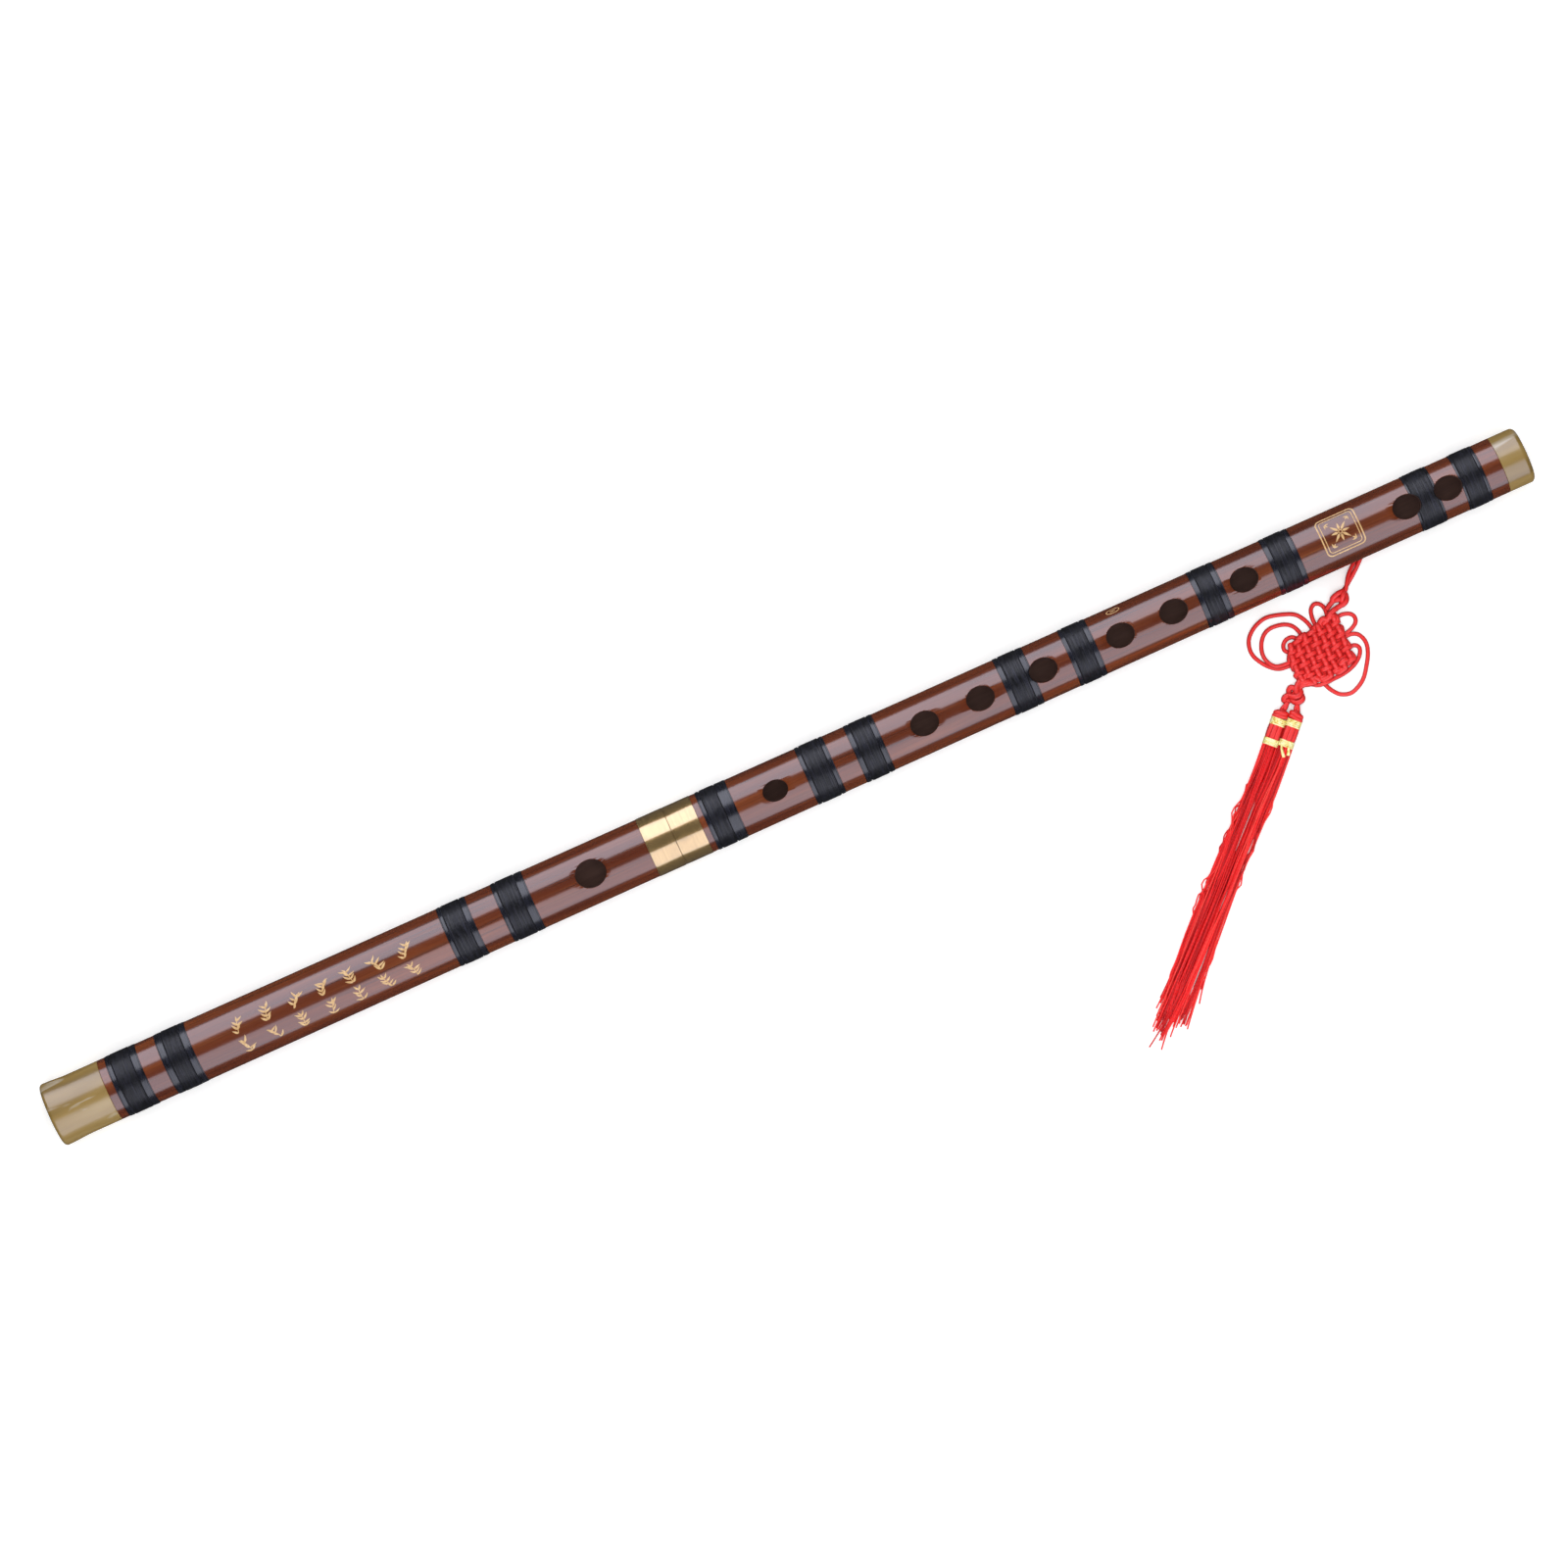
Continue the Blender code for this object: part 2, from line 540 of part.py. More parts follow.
def make_tassel(number, side, red, gold):
    """A bound head with two gold bands, and the skirt of strands below it."""
    place = tassel_origin(side)
    waist = GOLD_BAND_RADIUS - 2 * GAP
    head_end = LOWER_BAND[1] + GAP / 2
    outline = [
        (TASSEL_HEAD_TOP, 1.0 * MM), (TASSEL_HEAD_TOP + 0.5 * MM, 1.9 * MM),
        (TASSEL_HEAD_TOP + 1.6 * MM, TASSEL_HEAD_RADIUS),
        (UPPER_BAND[0] - GAP, TASSEL_HEAD_RADIUS), (UPPER_BAND[0] - GAP, waist),
        (UPPER_BAND[1] + GAP, waist), (UPPER_BAND[1] + GAP, TASSEL_HEAD_RADIUS),
        (LOWER_BAND[0] - GAP, TASSEL_HEAD_RADIUS), (LOWER_BAND[0] - GAP, waist), (head_end, waist),
    ]
    pieces = [turned_solid(f"tassel_head_{number}", outline, red, place, sides=TASSEL_SIDES)]
    for label, (start, end) in (("upper", UPPER_BAND), ("lower", LOWER_BAND)):
        pieces.append(turned_ring(f"{label}_gold_band_{number}", [
            (start, waist + GAP), (start, GOLD_BAND_RADIUS), (end, GOLD_BAND_RADIUS), (end, waist + GAP),
        ], gold, place, sides=TASSEL_SIDES))
    for piece in pieces:
        aim(piece, TASSEL_DIRECTION)
    return [*pieces, make_skirt(number, side, place, red)]


def make_skirt(number, side, place, red):
    """A tassel's strands as one bundle, round at the head and flatter at the ends. The two bundles
    lie side by side, with a straight gap between them."""
    bm = bmesh.new()
    rings = []
    stations = 9
    first_height, last_height = SKIRT_HALF_HEIGHTS
    for station in range(stations):
        share = station / (stations - 1)
        reach = SKIRT_START + SKIRT_LENGTH * share
        half_width = SKIRT_HALF_WIDTH + SKIRT_SWELL * math.sin(math.pi * share)
        half_height = first_height + (last_height - first_height) * share
        drift = side * (half_width + GAP / 2 - TASSEL_SPREAD) + SKIRT_DRIFT * share
        middle = place + reach * TASSEL_DIRECTION + drift * TASSEL_SIDEWAYS
        middle.z = half_height
        ring = []
        for i in range(TASSEL_SIDES):
            angle = 2 * math.pi * i / TASSEL_SIDES
            out = half_width * math.cos(angle) * TASSEL_SIDEWAYS
            ring.append(bm.verts.new(middle + out + Vector((0.0, 0.0, half_height * math.sin(angle)))))
        rings.append(ring)
    for first, second in zip(rings, rings[1:]):
        bridge(bm, first, second)
    bm.faces.new(rings[0])
    bm.faces.new(rings[-1])
    return new_object(f"strand_skirt_{number}", bm, red)


def build():
    clear_scene()
    bamboo = material("bamboo", (0.30, 0.14, 0.06), 0.35)
    horn = material("horn", (0.45, 0.36, 0.16), 0.3)
    thread = material("dark_thread", (0.02, 0.022, 0.03), 0.4)
    brass = material("brass", (0.80, 0.62, 0.33), 0.3, metallic=1.0)
    cork = material("cork", (0.45, 0.30, 0.17), 0.9)
    red = material("red_cord", (0.62, 0.02, 0.03), 0.6)
    gold = material("gold_thread", (0.80, 0.62, 0.15), 0.4)

    head_tube, body_tube = make_head_tube(bamboo), make_body_tube(bamboo)
    head_cap = make_head_end_cap(horn)
    make_foot_end_cap(horn)
    head_ferrule, _, tenon, _ = make_joint(brass)
    head_cork = make_cork(cork)
    bindings = make_bindings(thread)

    blow_cutter = hole_cutter("blow_hole_cutter", [BLOW_HOLE])
    body_holes = [MEMBRANE_HOLE] + [(x, *FINGER_HOLE_SIZE) for x in FINGER_HOLE_PLACES + TONE_HOLE_PLACES]
    body_cutter = hole_cutter("body_hole_cutter", body_holes)
    cut(head_tube, blow_cutter)
    cut(body_tube, body_cutter)
    cut(body_tube, tassel_hole_cutter())
    for number in (8, 12, 13):  # the bindings that a hole's edge runs into
        cut(bindings[number - 1], body_cutter)

    make_threaded_cord(red)
    pendant = [
        make_hanging_cord(red),
        make_button_knot("top_button_knot", TOP_KNOT_CENTRE, TOP_KNOT_SIZE, red),
        make_endless_knot(red),
        *make_loops(red),
        make_button_knot("lower_button_knot", LOWER_KNOT_CENTRE, LOWER_KNOT_SIZE, red),
    ]

    joint_pivot = pivot("joint_pivot", (JOINT_FACE, 0.0, AXIS_HEIGHT))
    attach([tenon, head_tube, head_cap, head_ferrule, head_cork, *bindings[:4]], joint_pivot)
    pendant_pivot = pivot("pendant_pivot", tassel_hole_point(TASSEL_HOLE_PLACES[1], 12.6 * MM))
    attach(pendant, pendant_pivot)
    for number, side in ((1, 1), (2, -1)):
        top = tassel_origin(side) + TASSEL_HEAD_TOP * TASSEL_DIRECTION
        tassel_pivot = pivot(f"tassel_pivot_{number}", top)
        attach(make_tassel(number, side, red, gold), tassel_pivot)


build()
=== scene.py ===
"""Looks of the bamboo flute: varnished bamboo, wound thread, brushed brass, horn, gold leaf sprigs,
knotted red cord and silky tassels. Metres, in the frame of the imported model."""

import json
import math
import random

import bmesh
import bpy
import numpy as np
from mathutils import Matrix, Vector, noise


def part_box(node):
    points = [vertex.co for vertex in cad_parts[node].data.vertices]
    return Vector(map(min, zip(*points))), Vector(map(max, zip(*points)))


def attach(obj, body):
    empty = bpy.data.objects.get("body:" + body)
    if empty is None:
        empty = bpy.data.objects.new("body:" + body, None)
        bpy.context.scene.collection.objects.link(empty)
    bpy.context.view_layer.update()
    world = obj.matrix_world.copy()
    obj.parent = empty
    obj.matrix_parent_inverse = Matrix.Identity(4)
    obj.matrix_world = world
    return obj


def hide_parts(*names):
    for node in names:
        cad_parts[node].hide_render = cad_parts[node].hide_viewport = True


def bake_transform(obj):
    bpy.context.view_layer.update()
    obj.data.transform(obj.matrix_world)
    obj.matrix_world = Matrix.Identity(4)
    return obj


MM = 0.001
TURN = 2 * math.pi
UP = Vector((0.0, 0.0, 1.0))

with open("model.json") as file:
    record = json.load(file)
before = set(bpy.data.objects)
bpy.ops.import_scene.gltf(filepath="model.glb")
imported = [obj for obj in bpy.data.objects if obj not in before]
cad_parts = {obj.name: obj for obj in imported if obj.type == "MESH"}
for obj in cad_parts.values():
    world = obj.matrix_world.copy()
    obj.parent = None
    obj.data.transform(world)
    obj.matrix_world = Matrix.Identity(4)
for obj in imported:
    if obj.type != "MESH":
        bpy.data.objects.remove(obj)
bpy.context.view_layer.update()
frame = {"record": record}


# ---------------------------------------------------------------- places, worked out from the frame

def span(node):
    """A node's lowest and highest corner, as vectors."""
    low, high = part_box(node)
    return Vector(low), Vector(high)


def middle_x(opening):
    low, high = OPENINGS[opening]["box_m"]
    return (low[0] + high[0]) / 2


OPENINGS = {o["name"]: o for o in frame["record"]["physics"]["openings"]}
JOINTS = {j["name"]: j for j in frame["record"]["behaviour"]["joints"]}
HEAD_X, FOOT_X = span("head_end_cap")[0].x, span("foot_end_cap")[1].x
AXIS = Vector(JOINTS["head_turn"]["pos_m"]).z
JOINT_X = Vector(JOINTS["head_turn"]["pos_m"]).x
HEAD_RADIUS, FOOT_RADIUS = 13.3 * MM, 12.05 * MM
FLARE_RADIUS = 13.8 * MM
BORE = 8.5 * MM
GAP = 0.3 * MM
SINK = 0.5 * MM  # of a binding, below the bamboo's surface
CAP_SEAT, FERRULE_SEAT = 2.2 * MM, 1.3 * MM  # how much thinner the bamboo is inside them
TENON = 9.2 * MM
TENON_HOLE = TENON + GAP
SOCKET = 10.0 * MM
SOCKET_HOLE = SOCKET + GAP
CORD = 1.8 * MM

HOLES = {"blow_hole": (13.3 * MM, 11.7 * MM), "membrane_hole": (10.9 * MM, 8.7 * MM)}
for hole in OPENINGS:
    if hole.startswith(("finger_hole", "tone_hole")):
        HOLES[hole] = (12.2 * MM, 10.1 * MM)


def tube_radius(x):
    """Outside radius of the bamboo, which tapers evenly from the head to the foot."""
    share = (x - HEAD_X) / (FOOT_X - HEAD_X)
    return HEAD_RADIUS + (FOOT_RADIUS - HEAD_RADIUS) * share


def on_tube(x, arc, lift=0.0):
    """The point at x, this far round from the top line towards +Y, and this far above the bamboo."""
    radius = tube_radius(x)
    angle = arc / radius
    return Vector((x, (radius + lift) * math.sin(angle), AXIS + (radius + lift) * math.cos(angle)))


# ---------------------------------------------------------------- mesh making

class Mesh:
    """Collects tubes and turned shapes, with each vertex's run: metres along, and its place round."""

    def __init__(self):
        self.verts, self.faces, self.runs, self.slots = [], [], [], []

    def add(self, verts, faces, runs=None, slot=0):
        start = len(self.verts)
        self.verts += [tuple(v) for v in verts]
        self.faces += [tuple(start + i for i in face) for face in faces]
        self.runs += runs or [(0.0, 1.0, 0.0)] * len(verts)
        self.slots += [slot] * len(faces)

    def tube(self, points, radius, sides=10, slot=0, flat=1.0):
        """A closed tube along points. radius is one number, or a function of the share along.

        The place round it is counted from level, however the tube has rolled on its way."""
        points = [Vector(p) for p in points]
        rings, runs, faces = [], [], []
        tangent = (points[1] - points[0]).normalized()
        side = tangent.orthogonal().normalized()
        if abs(tangent.z) < 0.9:
            side = tangent.cross(UP).normalized()
        along = 0.0
        last = len(points) - 1
        for i, point in enumerate(points):
            ahead, behind = points[min(i + 1, last)], points[max(i - 1, 0)]
            tangent = (ahead - behind).normalized()
            side = (side - tangent * side.dot(tangent)).normalized()
            up = side.cross(tangent)
            level = tangent.cross(UP)
            roll = math.atan2(side.dot(level.cross(tangent)), side.dot(level))
            size = radius(i / last) if callable(radius) else radius
            along += (point - behind).length
            for k in range(sides):
                angle = TURN * k / sides
                rings.append(point + size * (math.cos(angle) * side + flat * math.sin(angle) * up))
                runs.append((along, math.cos(angle + roll), math.sin(angle + roll)))
        for i in range(last):
            for k in range(sides):
                n = (k + 1) % sides
                faces.append((i * sides + k, i * sides + n, (i + 1) * sides + n, (i + 1) * sides + k))
        faces.append(tuple(reversed(range(sides))))
        faces.append(tuple(last * sides + k for k in range(sides)))
        self.add(rings, faces, runs, slot)

    def turned(self, outline, sides, closed=True, wobble=None, slots=None):
        """An outline of (x, radius) turned about the flute's axis. wobble adds to the radius."""
        rings, faces, face_slots = [], [], []
        for i, (x, radius) in enumerate(outline):
            for k in range(sides):
                angle = TURN * (k + 0.5) / sides
                size = radius + (wobble(i, x, angle) if wobble else 0.0)
                rings.append((x, size * math.sin(angle), AXIS + size * math.cos(angle)))
        count = len(outline)
        for i in range(count if closed else count - 1):
            j = (i + 1) % count
            for k in range(sides):
                n = (k + 1) % sides
                faces.append((i * sides + k, j * sides + k, j * sides + n, i * sides + n))
                face_slots.append(slots[i] if slots else 0)
        if not closed:
            faces += [tuple(range(sides)), tuple(reversed(range((count - 1) * sides, count * sides)))]
            face_slots += [0, 0]
        self.add(rings, faces)
        self.slots[-len(faces):] = face_slots

    def made(self, name, surfaces, sharp=40.0, tidy_normals=True):
        mesh = bpy.data.meshes.new(name)
        mesh.from_pydata(self.verts, [], self.faces)
        run = mesh.attributes.new("run", "FLOAT_VECTOR", "POINT")
        run.data.foreach_set("vector", np.array(self.runs, np.float32).ravel())
        mesh.polygons.foreach_set("material_index", self.slots)
        for surface in surfaces:
            mesh.materials.append(surface)
        if tidy_normals:
            bm = bmesh.new()
            bm.from_mesh(mesh)
            bmesh.ops.recalc_face_normals(bm, faces=bm.faces)
            bm.to_mesh(mesh)
            bm.free()
        mesh.shade_smooth()
        mesh.set_sharp_from_angle(angle=math.radians(sharp))
        obj = bpy.data.objects.new(name, mesh)
        bpy.context.collection.objects.link(obj)
        return obj


def smooth(route, spacing):
    """Evenly spaced points on a smooth curve through the route's points."""
    route = [Vector(p) for p in route]
    ends = [2 * route[0] - route[1], *route, 2 * route[-1] - route[-2]]
    fine, steps = [], 16
    for a, b, c, d in zip(ends, ends[1:], ends[2:], ends[3:]):
        for step in range(steps):
            t = step / steps
            fine.append(0.5 * (2 * b + (c - a) * t + (2 * a - 5 * b + 4 * c - d) * t**2
                               + (3 * b - a - 3 * c + d) * t**3))
    fine.append(route[-1])
    lengths = [0.0]
    for a, b in zip(fine, fine[1:]):
        lengths.append(lengths[-1] + (b - a).length)
    count = max(4, round(lengths[-1] / spacing) + 1)
    points, i = [], 0
    for n in range(count):
        target = lengths[-1] * n / (count - 1)
        while i < len(fine) - 2 and lengths[i + 1] < target:
            i += 1
        share = (target - lengths[i]) / max(1e-12, lengths[i + 1] - lengths[i])
        points.append(fine[i].lerp(fine[i + 1], share))
    return points


def cut(obj, cutter):
    """Cut one mesh out of another for good, and remove the cutter's modifier."""
    boolean = obj.modifiers.new("cut", "BOOLEAN")
    boolean.operation, boolean.solver, boolean.object = "DIFFERENCE", "EXACT", cutter
    evaluated = obj.evaluated_get(bpy.context.evaluated_depsgraph_get())
    mesh = bpy.data.meshes.new_from_object(evaluated)
    obj.modifiers.clear()
    old, obj.data = obj.data, mesh
    bpy.data.meshes.remove(old)


# ---------------------------------------------------------------- materials

def linear(red, green, blue):
    """An sRGB colour of 0 to 255 as the linear colour that shaders take."""
    return tuple(((c / 255 + 0.055) / 1.055) ** 2.4 if c > 10 else c / 255 / 12.92
                 for c in (red, green, blue))


class Material:
    """A node material with short calls for the nodes that these surfaces use."""

    def __init__(self, name, **settings):
        self.made = bpy.data.materials.new(name)
        self.made.use_nodes = True
        self.tree = self.made.node_tree
        self.shader = self.tree.nodes["Principled BSDF"]
        for key, value in settings.items():
            self.shader.inputs[key.replace("_", " ")].default_value = value

    def node(self, kind, inputs=None, **settings):
        node = self.tree.nodes.new(kind)
        for key, value in settings.items():
            setattr(node, key, value)
        for key, value in (inputs or {}).items():
            if isinstance(value, bpy.types.NodeSocket):
                self.tree.links.new(value, node.inputs[key])
            else:
                node.inputs[key].default_value = value
        return node

    def place(self, scale=(1, 1, 1), turn=(0, 0, 0)):
        """Object coordinates in metres, scaled so that a texture stretches."""
        source = self.node("ShaderNodeTexCoord").outputs["Object"]
        return self.node("ShaderNodeMapping", {"Vector": source, "Scale": scale, "Rotation": turn}
                         ).outputs["Vector"]

    def noise(self, scale, detail=3.0, roughness=0.55, distortion=0.0, vector=None):
        """Noise with this many features per metre along X, Y and Z."""
        vector = vector or self.place(scale)
        return self.node("ShaderNodeTexNoise", {
            "Vector": vector, "Scale": 1.0, "Detail": detail, "Roughness": roughness,
            "Distortion": distortion}).outputs["Fac"]

    def ramp(self, factor, stops, interpolation="LINEAR"):
        node = self.node("ShaderNodeValToRGB", {"Fac": factor})
        node.color_ramp.interpolation = interpolation
        elements = node.color_ramp.elements
        while len(elements) < len(stops):
            elements.new(0.5)
        for element, (place, colour) in zip(elements, stops):
            element.position = place
            element.color = (*colour, 1.0) if hasattr(colour, "__len__") else (colour,) * 3 + (1.0,)
        return node.outputs["Color"]

    def level(self, factor, low, high, from_low=0.0, from_high=1.0):
        return self.node("ShaderNodeMapRange", {
            "Value": factor, "From Min": from_low, "From Max": from_high, "To Min": low,
            "To Max": high}).outputs["Result"]

    def mix(self, factor, first, second, blend="MIX"):
        node = self.node("ShaderNodeMix", data_type="RGBA", blend_type=blend)
        for index, value in ((0, factor), (6, first), (7, second)):
            if isinstance(value, bpy.types.NodeSocket):
                self.tree.links.new(value, node.inputs[index])
            elif index == 0:
                node.inputs[index].default_value = value
            else:
                node.inputs[index].default_value = (*value, 1.0)
        return node.outputs[2]

    def math(self, operation, first, second=0.0):
        return self.node("ShaderNodeMath", {0: first, 1: second}, operation=operation).outputs[0]

    def run(self):
        """Metres along a cord, the angle round it, and how far it faces up, from -1 to 1."""
        vector = self.node("ShaderNodeAttribute", attribute_name="run").outputs["Vector"]
        parts = self.node("ShaderNodeSeparateXYZ", {"Vector": vector}).outputs
        return parts["X"], self.math("ARCTAN2", parts["Z"], parts["Y"]), parts["Z"]

    def set(self, name, value):
        self.tree.links.new(value, self.shader.inputs[name])

    def bump(self, height, distance, strength=1.0):
        """Bump from a height of 0 to 1, with the depth in metres."""
        node = self.node("ShaderNodeBump", {
            "Height": height, "Distance": distance, "Strength": strength})
        self.set("Normal", node.outputs["Normal"])


def bamboo_material(name, seed):
    """Stained bamboo: fibres along the flute, darker streaks, and a clear varnish."""
    m = Material(name, Roughness=0.6, Specular_IOR_Level=0.0, Coat_Weight=1.0, Coat_Roughness=0.18,
                 Coat_IOR=1.95)
    shift = m.node("ShaderNodeMapping", {
        "Vector": m.node("ShaderNodeTexCoord").outputs["Object"], "Location": (seed, 0, 0)}
        ).outputs["Vector"]

    def stretched(scale):
        return m.node("ShaderNodeMapping", {"Vector": shift, "Scale": scale}).outputs["Vector"]

    tone = m.noise(None, 3, 0.5, 0.4, stretched((9, 150, 150)))
    base = m.ramp(tone, [
        (0.30, linear(82, 31, 11)), (0.45, linear(98, 41, 15)),
        (0.58, linear(110, 49, 17)), (0.72, linear(126, 61, 22))])
    streak = m.noise(None, 4, 0.65, 0.6, stretched((10, 620, 620)))
    dark = m.ramp(streak, [(0.52, 0.0), (0.70, 1.0)])
    colour = m.mix(m.math("MULTIPLY", dark, 0.6), base, linear(48, 20, 10))
    fibre = m.noise(None, 2, 0.6, 0.0, stretched((40, 2600, 2600)))
    colour = m.mix(m.level(fibre, 0.0, 0.4, 0.45, 0.8), colour, linear(62, 27, 12))
    pale = m.ramp(m.noise(None, 2, 0.5, 0.2, stretched((20, 1300, 1300))), [(0.60, 0.0), (0.75, 1.0)])
    colour = m.mix(m.math("MULTIPLY", pale, 0.22), colour, linear(160, 92, 42))
    m.set("Base Color", colour)
    m.bump(m.math("ADD", m.math("MULTIPLY", fibre, 0.5), m.noise(None, 2, 0.5, 0, stretched((5, 90, 90)))),
           0.00008, 0.4)
    return m.made


def lacquer_material():
    """The dark lacquer inside the bore and on the walls of the holes."""
    m = Material("bore_lacquer", Roughness=0.55)
    tone = m.noise((60, 500, 500))
    m.set("Base Color", m.ramp(tone, [(0.3, linear(92, 68, 62)), (0.7, linear(106, 80, 72))]))
    m.bump(m.noise((300, 900, 900)), 0.00005)
    return m.made


def horn_material():
    """Polished horn: olive amber with milky streaks that run along the flute."""
    m = Material("horn", Roughness=0.5, Specular_IOR_Level=0.0, Coat_Weight=1.0, Coat_Roughness=0.24,
                 Coat_IOR=1.95)
    flow = m.noise((9, 60, 60), 2, 0.5, 1.0)
    base = m.ramp(flow, [
        (0.30, linear(128, 102, 50)), (0.48, linear(150, 122, 64)),
        (0.62, linear(164, 138, 84)), (0.76, linear(180, 160, 118))])
    milk = m.ramp(m.noise((16, 90, 90), 2, 0.5, 2.0), [(0.60, 0.0), (0.74, 1.0)])
    colour = m.mix(m.math("MULTIPLY", milk, 0.55), base, linear(206, 198, 186))
    fine = m.noise((50, 1300, 1300), 2)
    colour = m.mix(m.level(fine, 0.0, 0.15, 0.5, 0.8), colour, linear(110, 92, 50))
    m.set("Base Color", colour)
    m.bump(fine, 0.00003, 0.5)
    return m.made


def thread_material(name, dark, light, low_rough, high_rough, coat):
    """Dark wound thread, with lacquer over it."""
    m = Material(name, Specular_IOR_Level=0.45, Coat_Weight=coat, Coat_Roughness=0.22, Coat_IOR=1.7)
    wear = m.noise((900, 260, 260), 4, 0.6)
    threads = m.noise((4200, 130, 130), 2, 0.6)
    colour = m.ramp(wear, [(0.35, dark), (0.65, light)])
    colour = m.mix(m.level(threads, 0.0, 0.5, 0.5, 0.7), colour, linear(50, 51, 70))
    m.set("Base Color", colour)
    m.set("Roughness", m.level(wear, low_rough, high_rough, 0.3, 0.7))
    m.bump(m.noise((3000, 420, 420), 3, 0.6), 0.00006, 0.6)
    return m.made


def brass_material(name, tarnish):
    """Brass brushed round the joint, lacquered, with a little tarnish."""
    m = Material(name, Metallic=0.82, Coat_Weight=1.0, Coat_Roughness=0.12, Coat_IOR=2.2)
    brushed = m.noise((4200, 60, 60), 3, 0.6)
    cloud = m.noise((160, 160, 160), 4, 0.6)
    colour = m.ramp(brushed, [(0.3, linear(196, 158, 96)), (0.7, linear(212, 176, 114))])
    spots = m.ramp(cloud, [(0.50, 0.0), (0.80, 1.0)])
    m.set("Base Color", m.mix(m.math("MULTIPLY", spots, tarnish), colour, linear(150, 112, 60)))
    m.set("Roughness", m.math("ADD", m.level(brushed, 0.16, 0.24), m.math("MULTIPLY", spots, 0.1)))
    m.bump(brushed, 0.000006, 0.3)
    return m.made


def gold_paint_material():
    """Gold paint on raised strokes: uneven, a little worn."""
    m = Material("gold_paint", Roughness=0.45, Coat_Weight=0.6, Coat_Roughness=0.25)
    wear = m.noise((700, 700, 700), 4, 0.65)
    m.set("Base Color", m.ramp(wear, [
        (0.32, linear(190, 146, 92)), (0.5, linear(212, 172, 114)), (0.7, linear(228, 194, 142))]))
    m.bump(wear, 0.00004, 0.5)
    return m.made


def cord_material(name, painted_shade_red, bright, light, braid_pitch, strands):
    """Satin cord, finely braided, with painted shade, a darker red on its sides and underside than along its
    top, and a painted highlight on the braid's ridges.
    """
    m = Material(name, Specular_IOR_Level=0.6)
    along, around, upward = m.run()
    turn = m.math("MULTIPLY", along, TURN / braid_pitch)
    wrap = m.math("MULTIPLY", around, float(strands))
    left = m.math("ABSOLUTE", m.math("SINE", m.math("ADD", wrap, turn)))
    right = m.math("ABSOLUTE", m.math("SINE", m.math("SUBTRACT", wrap, turn)))
    ridge = m.math("MAXIMUM", left, right)
    fuzz = m.noise((2600, 2600, 2600), 3, 0.6)
    # painted shade: the sides and underside go to the darker red, the top to the brighter red
    colour = m.mix(m.level(upward, 0.0, 1.0, 0.15, 0.9), painted_shade_red, bright)
    # painted highlight: the braid's ridges go a little towards the lightest red
    colour = m.mix(m.level(ridge, 0.0, 0.16, 0.6, 1.0), colour, light)
    m.set("Base Color", colour)
    m.set("Roughness", m.level(fuzz, 0.36, 0.5))
    m.bump(m.math("ADD", m.math("MULTIPLY", ridge, 0.7), m.math("MULTIPLY", fuzz, 0.4)), 0.00004, 0.6)
    return m.made


def strand_material():
    """Silky tassel strands: a soft shine, a different red from strand to strand, and painted shade, a darker
    red on each strand's sides and underside.
    """
    m = Material("tassel_silk", Specular_IOR_Level=0.4)
    along, around, upward = m.run()
    twist = m.math("SINE", m.math("ADD", m.math("MULTIPLY", along, TURN / 0.0016),
                                  m.math("MULTIPLY", around, 2.0)))
    shade = m.node("ShaderNodeAttribute", attribute_name="shade").outputs["Fac"]
    colour = m.ramp(shade, [
        (0.0, linear(190, 12, 16)), (0.3, linear(240, 24, 26)), (0.7, linear(252, 36, 36)),
        (1.0, linear(255, 70, 62))])
    # painted shade: a strand's sides and underside go towards a darker red
    colour = m.mix(m.level(upward, 0.35, 0.0, 0.0, 0.6), colour, linear(170, 6, 12))
    colour = m.mix(m.level(twist, 0.0, 0.15, -1.0, 1.0), colour, linear(176, 8, 14))
    m.set("Base Color", colour)
    m.set("Roughness", m.level(m.noise((900, 900, 900), 2), 0.36, 0.5))
    m.bump(twist, 0.00004, 0.6)
    return m.made


def gold_thread_material():
    """Metallic thread: fine wound ridges, with painted glints where the colour goes near white in patches,
    duller in a few places round.
    """
    m = Material("gold_thread", Metallic=0.15, Specular_IOR_Level=0.7, Coat_Weight=0.4, Coat_Roughness=0.25)
    painted_glint = m.noise((700, 700, 700), 3, 0.6)
    # painted glints: the base colour goes towards near white in patches
    m.set("Base Color", m.ramp(painted_glint, [
        (0.36, linear(222, 186, 72)), (0.44, linear(252, 238, 146)), (0.62, linear(255, 252, 204))]))
    m.set("Roughness", m.level(painted_glint, 0.25, 0.45))
    m.bump(painted_glint, 0.00006, 0.5)
    return m.made


def cork_material():
    m = Material("cork", Roughness=0.9)
    grain = m.node("ShaderNodeTexVoronoi", {"Vector": m.place((900, 900, 900)), "Scale": 1.0}
                   ).outputs["Distance"]
    m.set("Base Color", m.ramp(grain, [(0.1, linear(120, 84, 52)), (0.5, linear(192, 148, 100))]))
    m.bump(grain, 0.0002, 0.7)
    return m.made


def floor_material():
    """White paper, lit a little from behind so that it stays white beside the flute."""
    m = Material("studio_floor", Roughness=0.9, Specular_IOR_Level=0.1, Emission_Strength=0.32,
                 Emission_Color=(1.0, 1.0, 1.0, 1.0))
    m.set("Base Color", m.ramp(m.noise((3, 3, 3)), [(0.4, 0.915), (0.6, 0.925)]))
    return m.made


# ---------------------------------------------------------------- camera, floor and lights

FLUTE_TOP = AXIS + HEAD_RADIUS
CAMERA_HEIGHT = 3.0  # above the top of the flute
VIEW_WIDTH = 0.6481  # that the frame takes in at that height
VIEW_TURN = math.radians(-24.22)
VIEW_CENTRE = (-0.0015, 0.0010)


